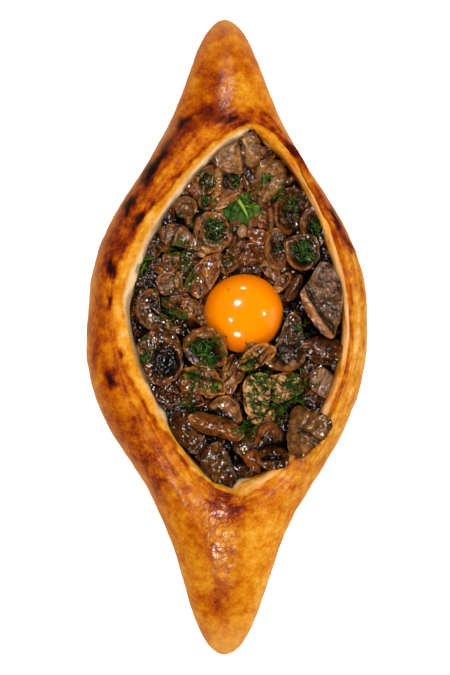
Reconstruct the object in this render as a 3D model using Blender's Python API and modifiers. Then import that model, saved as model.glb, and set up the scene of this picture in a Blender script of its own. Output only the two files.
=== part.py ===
"""Adjarian khachapuri: a boat-shaped bread, heaped with fried mushroom slices, with a raw egg yolk on top.

Units are metres and +Z is up. The bread's length runs along Y, and it rests on the plane Z = 0.
"""

import math

import bmesh
import bpy
import numpy as np
from mathutils import Vector
from mathutils.bvhtree import BVHTree

MM = 0.001

# Bread, seen from above: two blunt noses with a bell-shaped belly between them. Smoothing draws the cage in
# by its shrinkage, to 320 mm by 141 mm.
LENGTH = 323.8 * MM
BELLY_HALF_WIDTH = 72.3 * MM
NOSE_HALF_WIDTH = 24.3 * MM
TOP_END = {"belly_reach": 88.5 * MM, "belly_fullness": 2.8, "nose_bluntness": 3.2}
BOTTOM_END = {"belly_reach": 77 * MM, "belly_fullness": 2.4, "nose_bluntness": 3.7}

# Bread, seen from the side.
RIM_HEIGHT = 37.5 * MM
TIP_HEIGHT = 22 * MM
RIDGE_FALL_START = 88 * MM
RIDGE_FALL_LENGTH = 80 * MM
FLOOR_THICKNESS = 11 * MM

# Opening in the bread: a lens with its middle off the bread's middle.
OPENING_HALF_WIDTH = 53 * MM
OPENING_HALF_LENGTH = 90 * MM
OPENING_MIDDLE = Vector((4.25 * MM, 14 * MM))
OPENING_TOP_DRIFT = 7.75 * MM
OPENING_BOTTOM_SWAY = 3 * MM
OPENING_TOP_POINTEDNESS = 1.62
OPENING_BOTTOM_POINTEDNESS = 2.0
OPENING_CORNER_ROUNDNESS = 0.75

# Seam where the inner roll of dough meets the outer one, deepest on the right.
SEAM_DEPTH = 2.8 * MM
SEAM_START, SEAM_END = math.radians(-42), math.radians(88)
SEAM_FADE = math.radians(24)

# Filling and yolk.
GAP = 0.4 * MM
HEAP_EDGE_HEIGHT = 26.5 * MM
HEAP_CROWN = 4 * MM
HEAP_LUMP = 1.1 * MM
HEAP_LUMP_SPACING = 23 * MM
YOLK_CENTRE = Vector((9.3 * MM, 12 * MM, 34.5 * MM))
YOLK_RADIUS = 19.6 * MM
YOLK_HALF_HEIGHT = 9.5 * MM

BREAD_POINTS = 32
HEAP_POINTS = 48
PIECE_POINTS = 12

# How much a piece resists tilting and bending to what is under it.
PIECE_STIFFNESS = np.array((0, 0.35, 0.35, 0.5, 0.5, 0.5))

CRUST_COLOUR = (0.62, 0.24, 0.04, 1)
HEAP_COLOUR = (0.07, 0.035, 0.018, 1)
YOLK_COLOUR = (0.95, 0.33, 0.0, 1)
MUSHROOM_COLOUR = (0.17, 0.095, 0.055, 1)

# Each large piece of mushroom, from the lowest to the one on top: name, outline, middle x and y, length, width
# and thickness in mm, and the turn of its length from the X axis in degrees.
MUSHROOM_PIECES = (
    ("stem_upper_left", "stem", -15, 72, 14, 6.5, 3, 130),
    ("oval_far_upper_left", "oval", -28, 60.5, 12, 7, 3, 75),
    ("edge_upper_left", "bean", -35.5, 46, 13, 7.5, 3, 60),
    ("oval_far_left", "oval", -37.5, 28, 12, 9, 3, 120),
    ("brown_right", "oval", 30.5, 32, 15, 9.5, 3, 145),
    ("crescent_left", "bean", -45.5, 9.5, 25, 6, 3, 87),
    ("low_right", "oval", 44, -30.5, 13, 9.5, 3, 40),
    ("dark_lower_middle", "fan", 9, -52.5, 12, 9.5, 4, 30),
    ("light_lower_middle", "wedge", 18.5, -37.5, 13, 8, 3, 20),
    ("orange_lower", "oval", 14, -61, 13, 8.5, 3, 110),
    ("oval_lower_left", "oval", -15.5, -31, 13, 8, 3, 170),
    ("round_top", "oval", 1, 77, 15.5, 14, 3, 100),
    ("cap_top_left", "bean", -11, 78, 13, 9, 3, 60),
    ("gill_upper_right", "bean", 33.5, 63, 20.5, 14, 3, 80),
    ("gill_far_right", "oval", 43.5, 55.5, 16, 10.5, 3, 120),
    ("flat_upper_middle", "wedge", 17.5, 56, 17, 8.5, 3, 90),
    ("cap_upper_left", "oval", -19.5, 66, 14.5, 10, 3, 130),
    ("cap_left", "bean", -25.5, 50.5, 16, 10.5, 4, 160),
    ("disc_middle", "oval", 11.5, 41.8, 18.5, 12.5, 3, 0),
    ("slice_middle_right", "bean", 25.8, 44.5, 17.5, 9.5, 3, 95),
    ("oval_left", "oval", -28, 35.5, 15, 9, 3, 150),
    ("layered_left", "wedge", -24, 18, 18, 12, 3, 75),
    ("leaf_middle", "oval", 3.5, -18.5, 19, 9, 3, 75),
    ("square_right", "stem", 32, -23, 15, 10, 4, 10),
    ("onion_right", "bean", 48.5, -20.5, 15, 8, 3, 62),
    ("slice_lower_left", "bean", -31, -29, 17, 10, 3, 125),
    ("tan_lower_middle", "wedge", 0, -35.5, 14, 11, 3, 160),
    ("arch_lower", "bean", 21, -48.5, 14, 11, 4, 90),
    ("gill_lower_right", "stem", 23, -60, 14, 9.5, 4, 5),
    ("stem_right", "stem", 48, -6.5, 17, 11.5, 7, 175),
    ("flap_top", "wedge", 6, 91.5, 23, 15, 3.5, 32),
    ("cap_top_right", "oval", 22.5, 77, 20, 16, 5, 95),
    ("round_upper_left", "oval", -7, 52.5, 20, 16.5, 4, 60),
    ("round_right", "oval", 38, 43, 20, 15.5, 4, 80),
    ("fan_left", "fan", -11.5, 31.5, 24, 17, 4, 60),
    ("cut_right", "fan", 46.5, 19, 36, 18, 5, 112),
    ("cut_left", "fan", -37.5, 15, 18, 14, 4, 120),
    ("arch_left", "bean", -9.5, -5, 21, 18, 4.5, 160),
    ("gill_fan_right", "fan", 31, -2, 29, 17, 4.5, 70),
    ("round_left", "oval", -31.5, -9, 27, 22, 4, 100),
    ("tan_under_yolk", "oval", 16, -10, 13, 8.5, 3.5, 15),
    ("square_left", "stem", -12, -20.5, 20, 12.5, 4.5, 170),
    ("square_middle", "stem", 16, -27, 18, 12, 4.5, 85),
    ("cap_lower_left", "oval", -19, -46, 22, 12.5, 4.5, 112),
    ("tube_lower", "stem", -4, -44, 26, 9, 7, 158),
    ("cap_lowest", "oval", -3.5, -62, 20, 16, 4.5, 115),
    ("chunk_lower_right", "fan", 41, -46, 25, 20, 8, 50),
)


def smoothstep(value, low, high):
    share = min(max((value - low) / (high - low), 0.0), 1.0)
    return share * share * (3 - 2 * share)


def material(name, colour, roughness):
    """A Principled material of one colour."""
    made = bpy.data.materials.new(name)
    made.use_nodes = True
    surface = made.node_tree.nodes["Principled BSDF"]
    surface.inputs["Base Color"].default_value = colour
    surface.inputs["Roughness"].default_value = roughness
    surface.inputs["Metallic"].default_value = 0.0
    return made


def loft(name, rings, start, end, collection):
    """A closed mesh object through rings of points, with a fan from start to the first and from the last to end."""
    shell = bmesh.new()
    rows = [[shell.verts.new(point) for point in ring] for ring in rings]
    first, last = shell.verts.new(start), shell.verts.new(end)
    count = len(rings[0])
    for i in range(count):
        j = (i + 1) % count
        shell.faces.new((first, rows[0][j], rows[0][i]))
        shell.faces.new((last, rows[-1][i], rows[-1][j]))
        for below, above in zip(rows, rows[1:]):
            shell.faces.new((below[i], below[j], above[j], above[i]))
    bmesh.ops.recalc_face_normals(shell, faces=shell.faces)
    mesh = bpy.data.meshes.new(name)
    shell.to_mesh(mesh)
    shell.free()
    mesh.shade_smooth()
    made = bpy.data.objects.new(name, mesh)
    collection.objects.link(made)
    return made


def surface_of(made):
    """The object's finished surface, for finding what lies on it or against it."""
    bpy.context.view_layer.update()
    finished = made.evaluated_get(bpy.context.evaluated_depsgraph_get())
    corners = [finished.matrix_world @ vertex.co for vertex in finished.data.vertices]
    return BVHTree.FromPolygons(corners, [face.vertices for face in finished.data.polygons])


def soften(target, levels):
    surface = target.modifiers.new("soft_dough", "SUBSURF")
    surface.levels = surface.render_levels = levels


# --- Bread -------------------------------------------------------------------------------------------------


def outline_half_width(y):
    """Half the bread's width at y."""
    end = TOP_END if y > 0 else BOTTOM_END
    share = min(abs(y) / (LENGTH / 2), 1.0)
    nose = NOSE_HALF_WIDTH * math.sqrt(1 - share ** end["nose_bluntness"])
    bell = math.exp(-((abs(y) / end["belly_reach"]) ** end["belly_fullness"]))
    return nose + (BELLY_HALF_WIDTH - NOSE_HALF_WIDTH) * bell


def outer_point(angle, inset):
    """A point of the bread's outline, moved in by inset. Angle 0 is at +X and a right angle at the top tip."""
    along = math.sin(angle)
    half_width = outline_half_width(LENGTH / 2 * along)
    side = math.copysign(1, math.cos(angle)) if abs(math.cos(angle)) > 1e-6 else 0
    return Vector((side * half_width**2 / (half_width + inset), (LENGTH / 2 - inset) * along))


def opening_point(angle, share=1.0):
    """A point of the opening's outline, drawn in towards the opening's middle to share of its size."""
    along, side = math.sin(angle), math.cos(angle)
    reach = abs(along)
    if along > 0:
        width = (1 - reach**OPENING_TOP_POINTEDNESS) ** OPENING_CORNER_ROUNDNESS
        drift = OPENING_TOP_DRIFT * reach**2
    else:
        width = (1 - reach**OPENING_BOTTOM_POINTEDNESS) ** OPENING_CORNER_ROUNDNESS
        drift = OPENING_BOTTOM_SWAY * math.sin(math.pi * reach)
    across = drift + math.copysign(OPENING_HALF_WIDTH * width, side)
    return OPENING_MIDDLE + Vector((across, OPENING_HALF_LENGTH * along)) * share


def opening_offset(angle, distance):
    """A point at distance outside the opening's outline, square to it."""
    step = math.radians(1.5)
    ahead, behind = opening_point(angle + step), opening_point(angle - step)
    tangent = (ahead - behind).normalized()
    return opening_point(angle) + Vector((tangent.y, -tangent.x)) * distance


def ridge_share(y):
    """The crest's height at y, as a share of the rim's height: it falls along each nose."""
    fall = smoothstep(abs(y), RIDGE_FALL_START, RIDGE_FALL_START + RIDGE_FALL_LENGTH)
    return 1 - (1 - TIP_HEIGHT / RIM_HEIGHT) * fall


def seam_depth(angle):
    """How deep the seam is at an angle: full on the right, a quarter on the left."""
    turned = (angle + math.pi) % (2 * math.pi) - math.pi
    window = smoothstep(turned, SEAM_START - SEAM_FADE, SEAM_START)
    window *= 1 - smoothstep(turned, SEAM_END - SEAM_FADE, SEAM_END)
    return SEAM_DEPTH * (0.2 + 0.8 * window)


def raised(point, height):
    """A plan point lifted to height, which is stated for the middle of the rim and lower along a nose."""
    return Vector((point.x, point.y, height * ridge_share(point.y)))


def bread_profile(angle):
    """The bread's section at an angle, from under its middle, round the rim and down to the floor."""
    outline, lip = outer_point(angle, 0), opening_point(angle)
    rim = (outline - lip).length
    doming = smoothstep(abs(outline.y), 80 * MM, 135 * MM)
    shoulder = outer_point(angle, min((6.5 + 5 * doming) * MM, 0.33 * rim))
    seam = opening_offset(angle, min(6.3 * MM, 0.42 * rim))
    roll = opening_offset(angle, min(4.0 * MM, 0.27 * rim))
    return [
        Vector((outline.x * 0.68, outline.y * 0.82, 0)),
        Vector((outline.x * 0.84, outline.y * 0.94, 0)),
        raised(outer_point(angle, 2.0 * MM), 4.5 * MM),
        raised(outline, 15 * MM),
        raised(outer_point(angle, (2.0 + 1.2 * doming) * MM), 25.5 * MM),
        raised(shoulder, 33 * MM),
        raised(shoulder.lerp(seam, 0.4), 36.8 * MM),
        raised(shoulder.lerp(seam, 0.78), RIM_HEIGHT + 0.4 * MM),
        raised(seam, RIM_HEIGHT - seam_depth(angle)),
        raised(roll, RIM_HEIGHT - 1.0 * MM),
        raised(lip, 30 * MM),
        raised(opening_point(angle, 0.965), 21 * MM),
        raised(opening_point(angle, 0.88), 12.8 * MM),
        raised(opening_point(angle, 0.6), FLOOR_THICKNESS),
    ]


def angles_around(count):
    return [2 * math.pi * i / count for i in range(count)]


def make_bread(collection):
    profiles = [bread_profile(angle) for angle in angles_around(BREAD_POINTS)]
    rings = [list(ring) for ring in zip(*profiles)]
    floor_middle = OPENING_MIDDLE.to_3d() + Vector((0, 0, FLOOR_THICKNESS))
    bread = loft("bread", rings, (0, 0, 0), floor_middle, collection)
    bread.data.materials.append(material("crust", CRUST_COLOUR, 0.45))
    soften(bread, 1)
    return bread


# --- Filling -----------------------------------------------------------------------------------------------


def heap_height(point, share):
    """The filling's height at a plan point, share of the way from the middle to the edge: a low crown with lumps."""
    turn_x = 2 * math.pi * point.x / HEAP_LUMP_SPACING
    turn_y = 2 * math.pi * point.y / (1.3 * HEAP_LUMP_SPACING)
    lumps = math.sin(turn_x + 0.6 * math.sin(turn_y)) * math.cos(turn_y)
    return HEAP_EDGE_HEIGHT + HEAP_CROWN * (1 - share**2) + HEAP_LUMP * lumps * (1 - share**4)


def heap_profile(angle, bread_surface):
    """The filling's section at an angle: just inside the bread's wall, then over the top to near the middle."""
    towards = (opening_point(angle) - OPENING_MIDDLE).normalized()
    edge_height = HEAP_EDGE_HEIGHT * ridge_share(opening_point(angle).y)
    wall = []
    for height in (FLOOR_THICKNESS + 3 * GAP, 0.55 * edge_height, 0.75 * edge_height, edge_height):
        middle = Vector((*OPENING_MIDDLE, height))
        hit = bread_surface.ray_cast(middle, towards.to_3d())[0]
        wall.append(hit - towards.to_3d() * 1.5 * GAP)
    edge = wall[-1].xy - OPENING_MIDDLE
    top = []
    for share in (0.93, 0.8, 0.66, 0.52, 0.38, 0.25, 0.12):
        point = OPENING_MIDDLE + edge * share
        top.append(raised(point, heap_height(point, share)))
    return wall + top


def make_yolk(name, growth, collection):
    """A raw yolk, flattened by its own weight. growth widens it, for the hollow that it lies in."""
    bpy.ops.mesh.primitive_uv_sphere_add(segments=20, ring_count=10, radius=1, location=YOLK_CENTRE)
    yolk = bpy.context.active_object
    yolk.name = yolk.data.name = name
    radius, half_height = YOLK_RADIUS + growth, YOLK_HALF_HEIGHT + growth
    for vertex in yolk.data.vertices:
        vertex.co = Vector((vertex.co.x * radius, vertex.co.y * radius, vertex.co.z * half_height))
    yolk.data.shade_smooth()
    for holder in yolk.users_collection:
        holder.objects.unlink(yolk)
    collection.objects.link(yolk)
    return yolk


def make_heap(bread, collection, cutters):
    bread_surface = surface_of(bread)
    profiles = [heap_profile(angle, bread_surface) for angle in angles_around(HEAP_POINTS)]
    rings = [list(ring) for ring in zip(*profiles)]
    middle = OPENING_MIDDLE
    floor_middle = Vector((*middle, FLOOR_THICKNESS + 1.5 * GAP))
    top_middle = Vector((*middle, heap_height(middle, 0)))
    heap = loft("mushroom_heap", rings, floor_middle, top_middle, collection)
    heap.data.materials.append(material("heap", HEAP_COLOUR, 0.3))
    hollow = make_yolk("yolk_hollow", GAP, cutters)
    hollow.hide_render = True
    hollow.display_type = "WIRE"
    cut = heap.modifiers.new("yolk_hollow", "BOOLEAN")
    cut.operation = "DIFFERENCE"
    cut.solver = "EXACT"
    cut.object = hollow
    return heap


# --- Mushroom pieces ---------------------------------------------------------------------------------------


def outline_share(outline, angle):
    """The reach of a piece's outline at an angle, as a share of its ellipse. Angle 0 is along its length."""
    if outline == "wedge":
        return 1 + 0.1 * math.cos(3 * angle)
    if outline == "bean":
        return 1 - 0.16 * math.exp(-(((angle - 1.5 * math.pi) / 0.6) ** 2))
    if outline == "fan":
        return 1 + 0.09 * math.cos(2 * angle + 0.8) - 0.07 * math.cos(angle)
    if outline == "stem":
        squareness = abs(math.cos(angle)) ** 4 + abs(math.sin(angle)) ** 4
        return squareness**-0.25 * 0.96
    return 1 + 0.03 * math.cos(3 * angle + 1)


def ground_height(surfaces, point):
    """The height of the highest of the surfaces at a plan point, found with a ray from above."""
    hits = [tree.ray_cast(Vector((point.x, point.y, 1)), Vector((0, 0, -1)))[0] for tree in surfaces]
    return max(hit.z for hit in hits if hit)


def bending_terms(u, v):
    return np.array((1, u, v, u * u, u * v, v * v))


def bed_under(surfaces, place, outline):
    """The gently bent sheet that a piece lies on, as a height at shares u, v of its half length and half width.

    It follows what is below on the whole, and is lifted until it is clear of it everywhere.
    """
    shares = []
    for angle in angles_around(2 * PIECE_POINTS):
        for reach in (0.01, 0.25, 0.45, 0.6, 0.75, 0.9, 1.04):
            outlined = reach * outline_share(outline, angle)
            shares.append((outlined * math.cos(angle), outlined * math.sin(angle)))
    terms = np.array([bending_terms(u, v) for u, v in shares])
    ground = np.array([ground_height(surfaces, place(u, v)) for u, v in shares])
    resistance = np.diag(PIECE_STIFFNESS) * math.sqrt(len(shares))
    wanted = np.append(ground, np.zeros(len(PIECE_STIFFNESS)))
    weights = np.linalg.lstsq(np.vstack((terms, resistance)), wanted, rcond=None)[0]
    lift = (ground - terms @ weights).max() + 1.75 * GAP
    return lambda u, v: float(bending_terms(u, v) @ weights) + lift


def make_piece(row, surfaces, paint, collection):
    """A soft slab of mushroom, laid over what is under it."""
    name, outline, x, y, length, width, thickness, turn = row
    heading = math.radians(turn)
    half_along = Vector((math.cos(heading), math.sin(heading))) * length * MM / 2
    half_across = Vector((-math.sin(heading), math.cos(heading))) * width * MM / 2
    middle = Vector((x, y)) * MM

    def place(u, v):
        return middle + half_along * u + half_across * v

    angles = angles_around(PIECE_POINTS)
    bed = bed_under(surfaces, place, outline)

    def laid(angle, share, level):
        reach = outline_share(outline, angle) * share
        u, v = reach * math.cos(angle), reach * math.sin(angle)
        plan = place(u, v)
        return Vector((plan.x, plan.y, bed(u, v) + level * thickness * MM))

    sections = ((0.7, 0.0), (1.0, 0.35), (0.95, 0.75), (0.6, 1.0))
    rings = [[laid(angle, share, level) for angle in angles] for share, level in sections]
    piece = loft("mushroom_" + name, rings, laid(0, 0, 0), laid(0, 0, 1), collection)
    piece.data.materials.append(paint)
    return piece


def make_pieces(carriers, collection):
    """The large pieces, each laid on the carriers and on the pieces before it."""
    surfaces = [surface_of(carrier) for carrier in carriers]
    paint = material("mushroom", MUSHROOM_COLOUR, 0.35)
    for row in MUSHROOM_PIECES:
        piece = make_piece(row, surfaces, paint, collection)
        surfaces.append(surface_of(piece))


def main():
    for old in list(bpy.data.objects):
        bpy.data.objects.remove(old)
    food = bpy.data.collections.new("khachapuri")
    cutters = bpy.data.collections.new("cutters")
    for holder in (food, cutters):
        bpy.context.scene.collection.children.link(holder)
    bread = make_bread(food)
    heap = make_heap(bread, food, cutters)
    yolk = make_yolk("egg_yolk", 0, food)
    yolk.data.materials.append(material("yolk", YOLK_COLOUR, 0.15))
    make_pieces((bread, heap, yolk), food)


main()
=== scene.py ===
"""The looks of a boat-shaped khachapuri: glazed bread, fried mushrooms with dill, and a raw egg yolk.

Lengths in this file are millimetres, worked out in numpy, until a mesh is made in metres. The mushroom
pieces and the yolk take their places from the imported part. Heights are along Z, and the bread's length is
along Y.
"""

import math
import random

import bpy
import numpy as np
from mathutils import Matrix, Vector, kdtree, noise
from mathutils.bvhtree import BVHTree


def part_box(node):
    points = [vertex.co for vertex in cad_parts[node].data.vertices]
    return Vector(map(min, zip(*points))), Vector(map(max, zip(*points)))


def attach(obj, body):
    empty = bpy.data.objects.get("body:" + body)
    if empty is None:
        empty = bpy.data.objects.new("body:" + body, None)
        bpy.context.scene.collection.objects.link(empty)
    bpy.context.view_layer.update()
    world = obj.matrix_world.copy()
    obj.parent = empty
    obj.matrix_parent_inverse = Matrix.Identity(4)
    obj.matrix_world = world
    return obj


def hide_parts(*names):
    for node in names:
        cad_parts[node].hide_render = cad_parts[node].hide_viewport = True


MM = 0.001

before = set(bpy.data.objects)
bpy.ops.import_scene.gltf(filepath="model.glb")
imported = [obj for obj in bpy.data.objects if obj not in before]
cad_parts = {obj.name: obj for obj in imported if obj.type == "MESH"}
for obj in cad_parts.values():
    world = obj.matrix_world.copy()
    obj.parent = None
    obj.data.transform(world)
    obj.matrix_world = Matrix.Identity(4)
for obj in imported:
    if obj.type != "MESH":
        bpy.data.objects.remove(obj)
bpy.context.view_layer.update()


# --- Numbers and noise -------------------------------------------------------------------------------------


def smooth(value, low, high):
    """0 below low, 1 above high, and a soft step between them."""
    share = np.clip((value - low) / (high - low), 0.0, 1.0)
    return share * share * (3 - 2 * share)


def bump_at(value, centre, width):
    """1 at the centre, falling away over about the width."""
    return np.exp(-(((value - centre) / width) ** 2))


def lumps(points, size, seed=0, octaves=1):
    """Smooth noise from about -1 to 1 at each point, with lumps of about this size."""
    shift = Vector((17.3, 7.9, 3.1)) * (seed + 1)
    scaled = np.asarray(points, float) / size
    return np.array([noise.fractal(Vector(p) + shift, 1.0, 2.0, octaves) for p in scaled])


def creases(points, size, seed=0):
    """Nearness to the borders of cells of about this size: 1 on a border, and 0 from a quarter cell away."""
    shift = Vector((5.1, 11.7, 2.3)) * (seed + 1)
    scaled = np.asarray(points, float) / size
    gaps = []
    for point in scaled:
        near = noise.voronoi(Vector(point) + shift)[0]
        gaps.append(near[1] - near[0])
    return 1 - np.clip(np.array(gaps) / 0.25, 0, 1)


def turned(x, y, heading):
    """Places along and across a heading in radians, from places to the east and north."""
    along = x * math.cos(heading) + y * math.sin(heading)
    return along, y * math.cos(heading) - x * math.sin(heading)


def round_angles(around, start=0):
    """This many even steps round a circle, the first of them start steps on."""
    return (np.arange(around) + start) * 2 * math.pi / around


def srgb(red, green, blue):
    """A linear colour from the 0 to 255 numbers of a screen."""
    parts = [part / 255 for part in (red, green, blue)]
    return (*[part / 12.92 if part <= 0.04045 else ((part + 0.055) / 1.055) ** 2.4 for part in parts], 1.0)


# --- Shader maths ------------------------------------------------------------------------------------------


class Wire:
    """A socket that carries a number, so that maths on it reads as Python."""

    def __init__(self, finish, socket):
        self.finish = finish
        self.socket = socket

    def math(self, operation, *others):
        """A Math node's result on this number and the others."""
        inputs = dict(enumerate((self, *others)))
        return self.finish.node("ShaderNodeMath", {"operation": operation}, inputs)

    def __add__(self, other):
        return self.math("ADD", other)

    def __sub__(self, other):
        return self.math("SUBTRACT", other)

    def __mul__(self, other):
        return self.math("MULTIPLY", other)

    def __pow__(self, other):
        return self.math("POWER", other)

    def __rsub__(self, other):
        return self.finish.node("ShaderNodeMath", {"operation": "SUBTRACT"}, {0: other, 1: self})

    __radd__ = __add__
    __rmul__ = __mul__

    def clamped(self):
        return self.finish.node("ShaderNodeClamp", {}, {0: self})

    def between(self, low, high):
        """0 where this is low, 1 where it is high, with a soft step between."""
        settings = {"interpolation_type": "SMOOTHSTEP"}
        return self.finish.node("ShaderNodeMapRange", settings, {0: self, 1: low, 2: high})


class Finish:
    """A material under construction, on one Principled shader."""

    def __init__(self, name, **constants):
        self.material = bpy.data.materials.new(name)
        self.material.use_nodes = True
        self.tree = self.material.node_tree
        self.surface = self.tree.nodes["Principled BSDF"]
        for socket, value in constants.items():
            self.surface.inputs[socket.replace("_", " ")].default_value = value

    def put(self, socket, value):
        """Sets a socket, or links it to a wire or another socket."""
        if isinstance(value, Wire):
            value = value.socket
        if isinstance(value, bpy.types.NodeSocket):
            self.tree.links.new(value, socket)
        else:
            socket.default_value = value

    def node(self, kind, settings, inputs, output=0):
        """Adds a node with these settings and inputs, and gives the wire from its output."""
        made = self.tree.nodes.new(kind)
        for name, value in settings.items():
            if name == "stops":
                self.set_stops(made.color_ramp, value)
            else:
                setattr(made, name, value)
        for key, value in inputs.items():
            self.put(made.inputs[key], value)
        return Wire(self, made.outputs[output])

    def set_stops(self, ramp, stops):
        """Gives a colour ramp its stops, each a place and a colour."""
        while len(ramp.elements) < len(stops):
            ramp.elements.new(0.5)
        for element, (place, colour) in zip(ramp.elements, stops):
            element.position = place
            element.color = colour

    def vector(self, operation, inputs):
        """A Vector Math node's result."""
        return self.node("ShaderNodeVectorMath", {"operation": operation}, inputs)

    def attribute(self, name):
        """The number that the mesh holds at each point under this name."""
        return self.node("ShaderNodeAttribute", {"attribute_name": name}, {}, "Fac")

    def place(self):
        """The point's place on the object, in metres."""
        return self.node("ShaderNodeTexCoord", {}, {}, "Object")

    def grain(self, size, detail=2, roughness=0.5, stretch=(1, 1, 1), warp=0):
        """Noise about 0, with grains of this size in mm."""
        inputs = {
            "Vector": self.vector("MULTIPLY", {0: self.place(), 1: stretch}),
            "Scale": 1 / (size * MM),
            "Detail": detail,
            "Roughness": roughness,
            "Distortion": warp,
        }
        return self.node("ShaderNodeTexNoise", {}, inputs) - 0.5

    def crumpled(self, size, warp):
        """The point's place in steps of this size in mm, shaken so that cells on it have crooked borders."""
        noise_inputs = {"Vector": self.place(), "Scale": 0.7 / (size * MM)}
        shake = self.node("ShaderNodeTexNoise", {}, noise_inputs, "Color")
        scaled = self.vector("SCALE", {0: self.place(), "Scale": 1 / (size * MM)})
        return self.vector("MULTIPLY_ADD", {0: shake, 1: (2 * warp, 2 * warp, 2 * warp), 2: scaled})

    def cracks(self, size, warp):
        """Distance to the borders of crumpled cells of this size in mm, in shares of a cell."""
        inputs = {"Vector": self.crumpled(size, warp), "Scale": 1.0}
        return self.node("ShaderNodeTexVoronoi", {"feature": "DISTANCE_TO_EDGE"}, inputs)

    def cell_tones(self, size, warp):
        """A number from 0 to 1 for each of the cells that cracks() draws."""
        inputs = {"Vector": self.crumpled(size, warp), "Scale": 1.0}
        return self.node("ShaderNodeTexVoronoi", {"feature": "F1"}, inputs, "Color")

    def ramp(self, value, stops):
        """The colour at this value along the stops."""
        return self.node("ShaderNodeValToRGB", {"stops": stops}, {0: value}, "Color")

    def blend(self, share, first, second):
        """The first colour where the share is 0, and the second where it is 1."""
        return self.node("ShaderNodeMix", {"data_type": "RGBA"}, {0: share, 6: first, 7: second}, 2)

    def finish(self, colour, roughness, coat=None, height=None, depth=0.3):
        """Links what varies: height is in shares of depth, which is in mm."""
        self.put(self.surface.inputs["Base Color"], colour)
        self.put(self.surface.inputs["Roughness"], roughness)
        if coat is not None:
            self.put(self.surface.inputs["Coat Weight"], coat)
        if height is not None:
            inputs = {"Height": height, "Distance": depth * MM, "Strength": 1.0}
            bump = self.node("ShaderNodeBump", {}, inputs)
            self.put(self.surface.inputs["Normal"], bump)
        return self.material


# Crust from pale to scorched.
CRUST_STOPS = (
    (0.0, srgb(236, 200, 146)),
    (0.12, srgb(240, 178, 90)),
    (0.26, srgb(224, 151, 36)),
    (0.4, srgb(207, 120, 8)),
    (0.54, srgb(180, 84, 2)),
    (0.68, srgb(136, 46, 4)),
    (0.84, srgb(80, 22, 10)),
    (1.0, srgb(36, 14, 14)),
)
CRACKLE_SIZE, CRACKLE_WARP = 3.0, 0.5


def crust_finish():
    """Egg-washed crust: gold to brown by how far it baked, mottled, crackled where it is thick with glaze."""
    made = Finish("crust", Specular_IOR_Level=0.03, Coat_Roughness=0.27, Coat_IOR=1.8)
    bake, cream, flank = made.attribute("bake"), made.attribute("cream"), made.attribute("flank")
    crackle, gloss = made.attribute("crackle"), made.attribute("gloss")
    cloud, mottle, fleck = made.grain(9, 3, 0.55), made.grain(3.6, 3, 0.66), made.grain(1.1, 2)
    cells = made.cracks(CRACKLE_SIZE, CRACKLE_WARP).between(0.0, 0.12)
    toasted = bake + (cloud * 0.66 + mottle * 0.56 + fleck * 0.24) * (0.85 + gloss * 0.4) * (1 - cream)
    toasted = toasted + (1 - cells) * crackle * 0.05
    colour = made.ramp(toasted.clamped(), CRUST_STOPS)
    dusty = made.blend((mottle * 1.4 + 0.5).clamped(), srgb(206, 138, 80), srgb(240, 192, 138))
    colour = made.blend(flank * 0.75, colour, dusty)
    crumb = made.blend((mottle * 2.2 + 0.5).clamped(), srgb(244, 196, 138), srgb(255, 224, 178))
    colour = made.blend(cream, colour, crumb)
    leather = made.grain(1.3, 3, 0.6, warp=0.6)
    blisters = made.grain(0.7, 2, 0.6)
    height = cells * crackle * 0.6 + leather * (0.3 + crackle * 0.4) + blisters * 0.2 + mottle * 0.7
    cell_tones = made.cell_tones(CRACKLE_SIZE, CRACKLE_WARP)
    glaze = (1 - crackle * (1 - cells)) * (1 - crackle + crackle * cell_tones * 1.7)
    coat = gloss * glaze * (0.8 + mottle * 2.2 + leather * 1.6)
    roughness = 0.62 - gloss * 0.36 + leather * 0.16
    return made.finish(colour, roughness, coat.clamped(), height, depth=0.42)


# Mushroom from its dark gills to its pale flesh, plain and where it is fried brown.
MUSHROOM_STOPS = (
    (0.0, srgb(6, 3, 2)),
    (0.18, srgb(22, 12, 5)),
    (0.36, srgb(58, 33, 12)),
    (0.52, srgb(108, 71, 35)),
    (0.68, srgb(162, 116, 66)),
    (0.84, srgb(210, 164, 108)),
    (1.0, srgb(242, 208, 156)),
)
FRIED_STOPS = (
    (0.0, srgb(10, 4, 2)),
    (0.25, srgb(52, 21, 5)),
    (0.5, srgb(118, 58, 14)),
    (0.75, srgb(180, 104, 34)),
    (1.0, srgb(220, 158, 78)),
)


def mushroom_finish(name, wetness):
    """Fried mushroom, wet with oil: dark gills, brown skin, greyer flesh and warmer fried edges."""
    made = Finish(name, Specular_IOR_Level=0.55, Coat_Roughness=0.08, Coat_IOR=1.5)
    tone, warm = made.attribute("tone"), made.attribute("warm")
    cloud, mottle, fleck = made.grain(4.2, 3, 0.6), made.grain(1.7, 3, 0.65, warp=0.4), made.grain(0.55, 2)
    fibre = made.grain(1.1, 2, 0.6, stretch=(1.0, 0.3, 0.6), warp=1.2)
    shade = (tone + cloud * 0.56 + mottle * 0.28 + fibre * 0.2 + fleck * 0.1).clamped()
    plain, fried = made.ramp(shade, MUSHROOM_STOPS), made.ramp(shade, FRIED_STOPS)
    colour = made.blend((warm + cloud * 1.1 + 0.1).clamped(), plain, fried)
    swell, ripple = made.grain(4.4, 0), made.grain(1.9, 0)
    height = swell * 1.3 + ripple * 0.34 + fibre * 0.06
    roughness = 0.11 + mottle * 0.08 + cloud * 0.05
    coat = (wetness - 0.6 + mottle * 2.6 + fleck * 2.0).clamped() * (tone * 1.6 + 0.2).clamped()
    return made.finish(colour, roughness, coat, height, depth=0.85)


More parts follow.
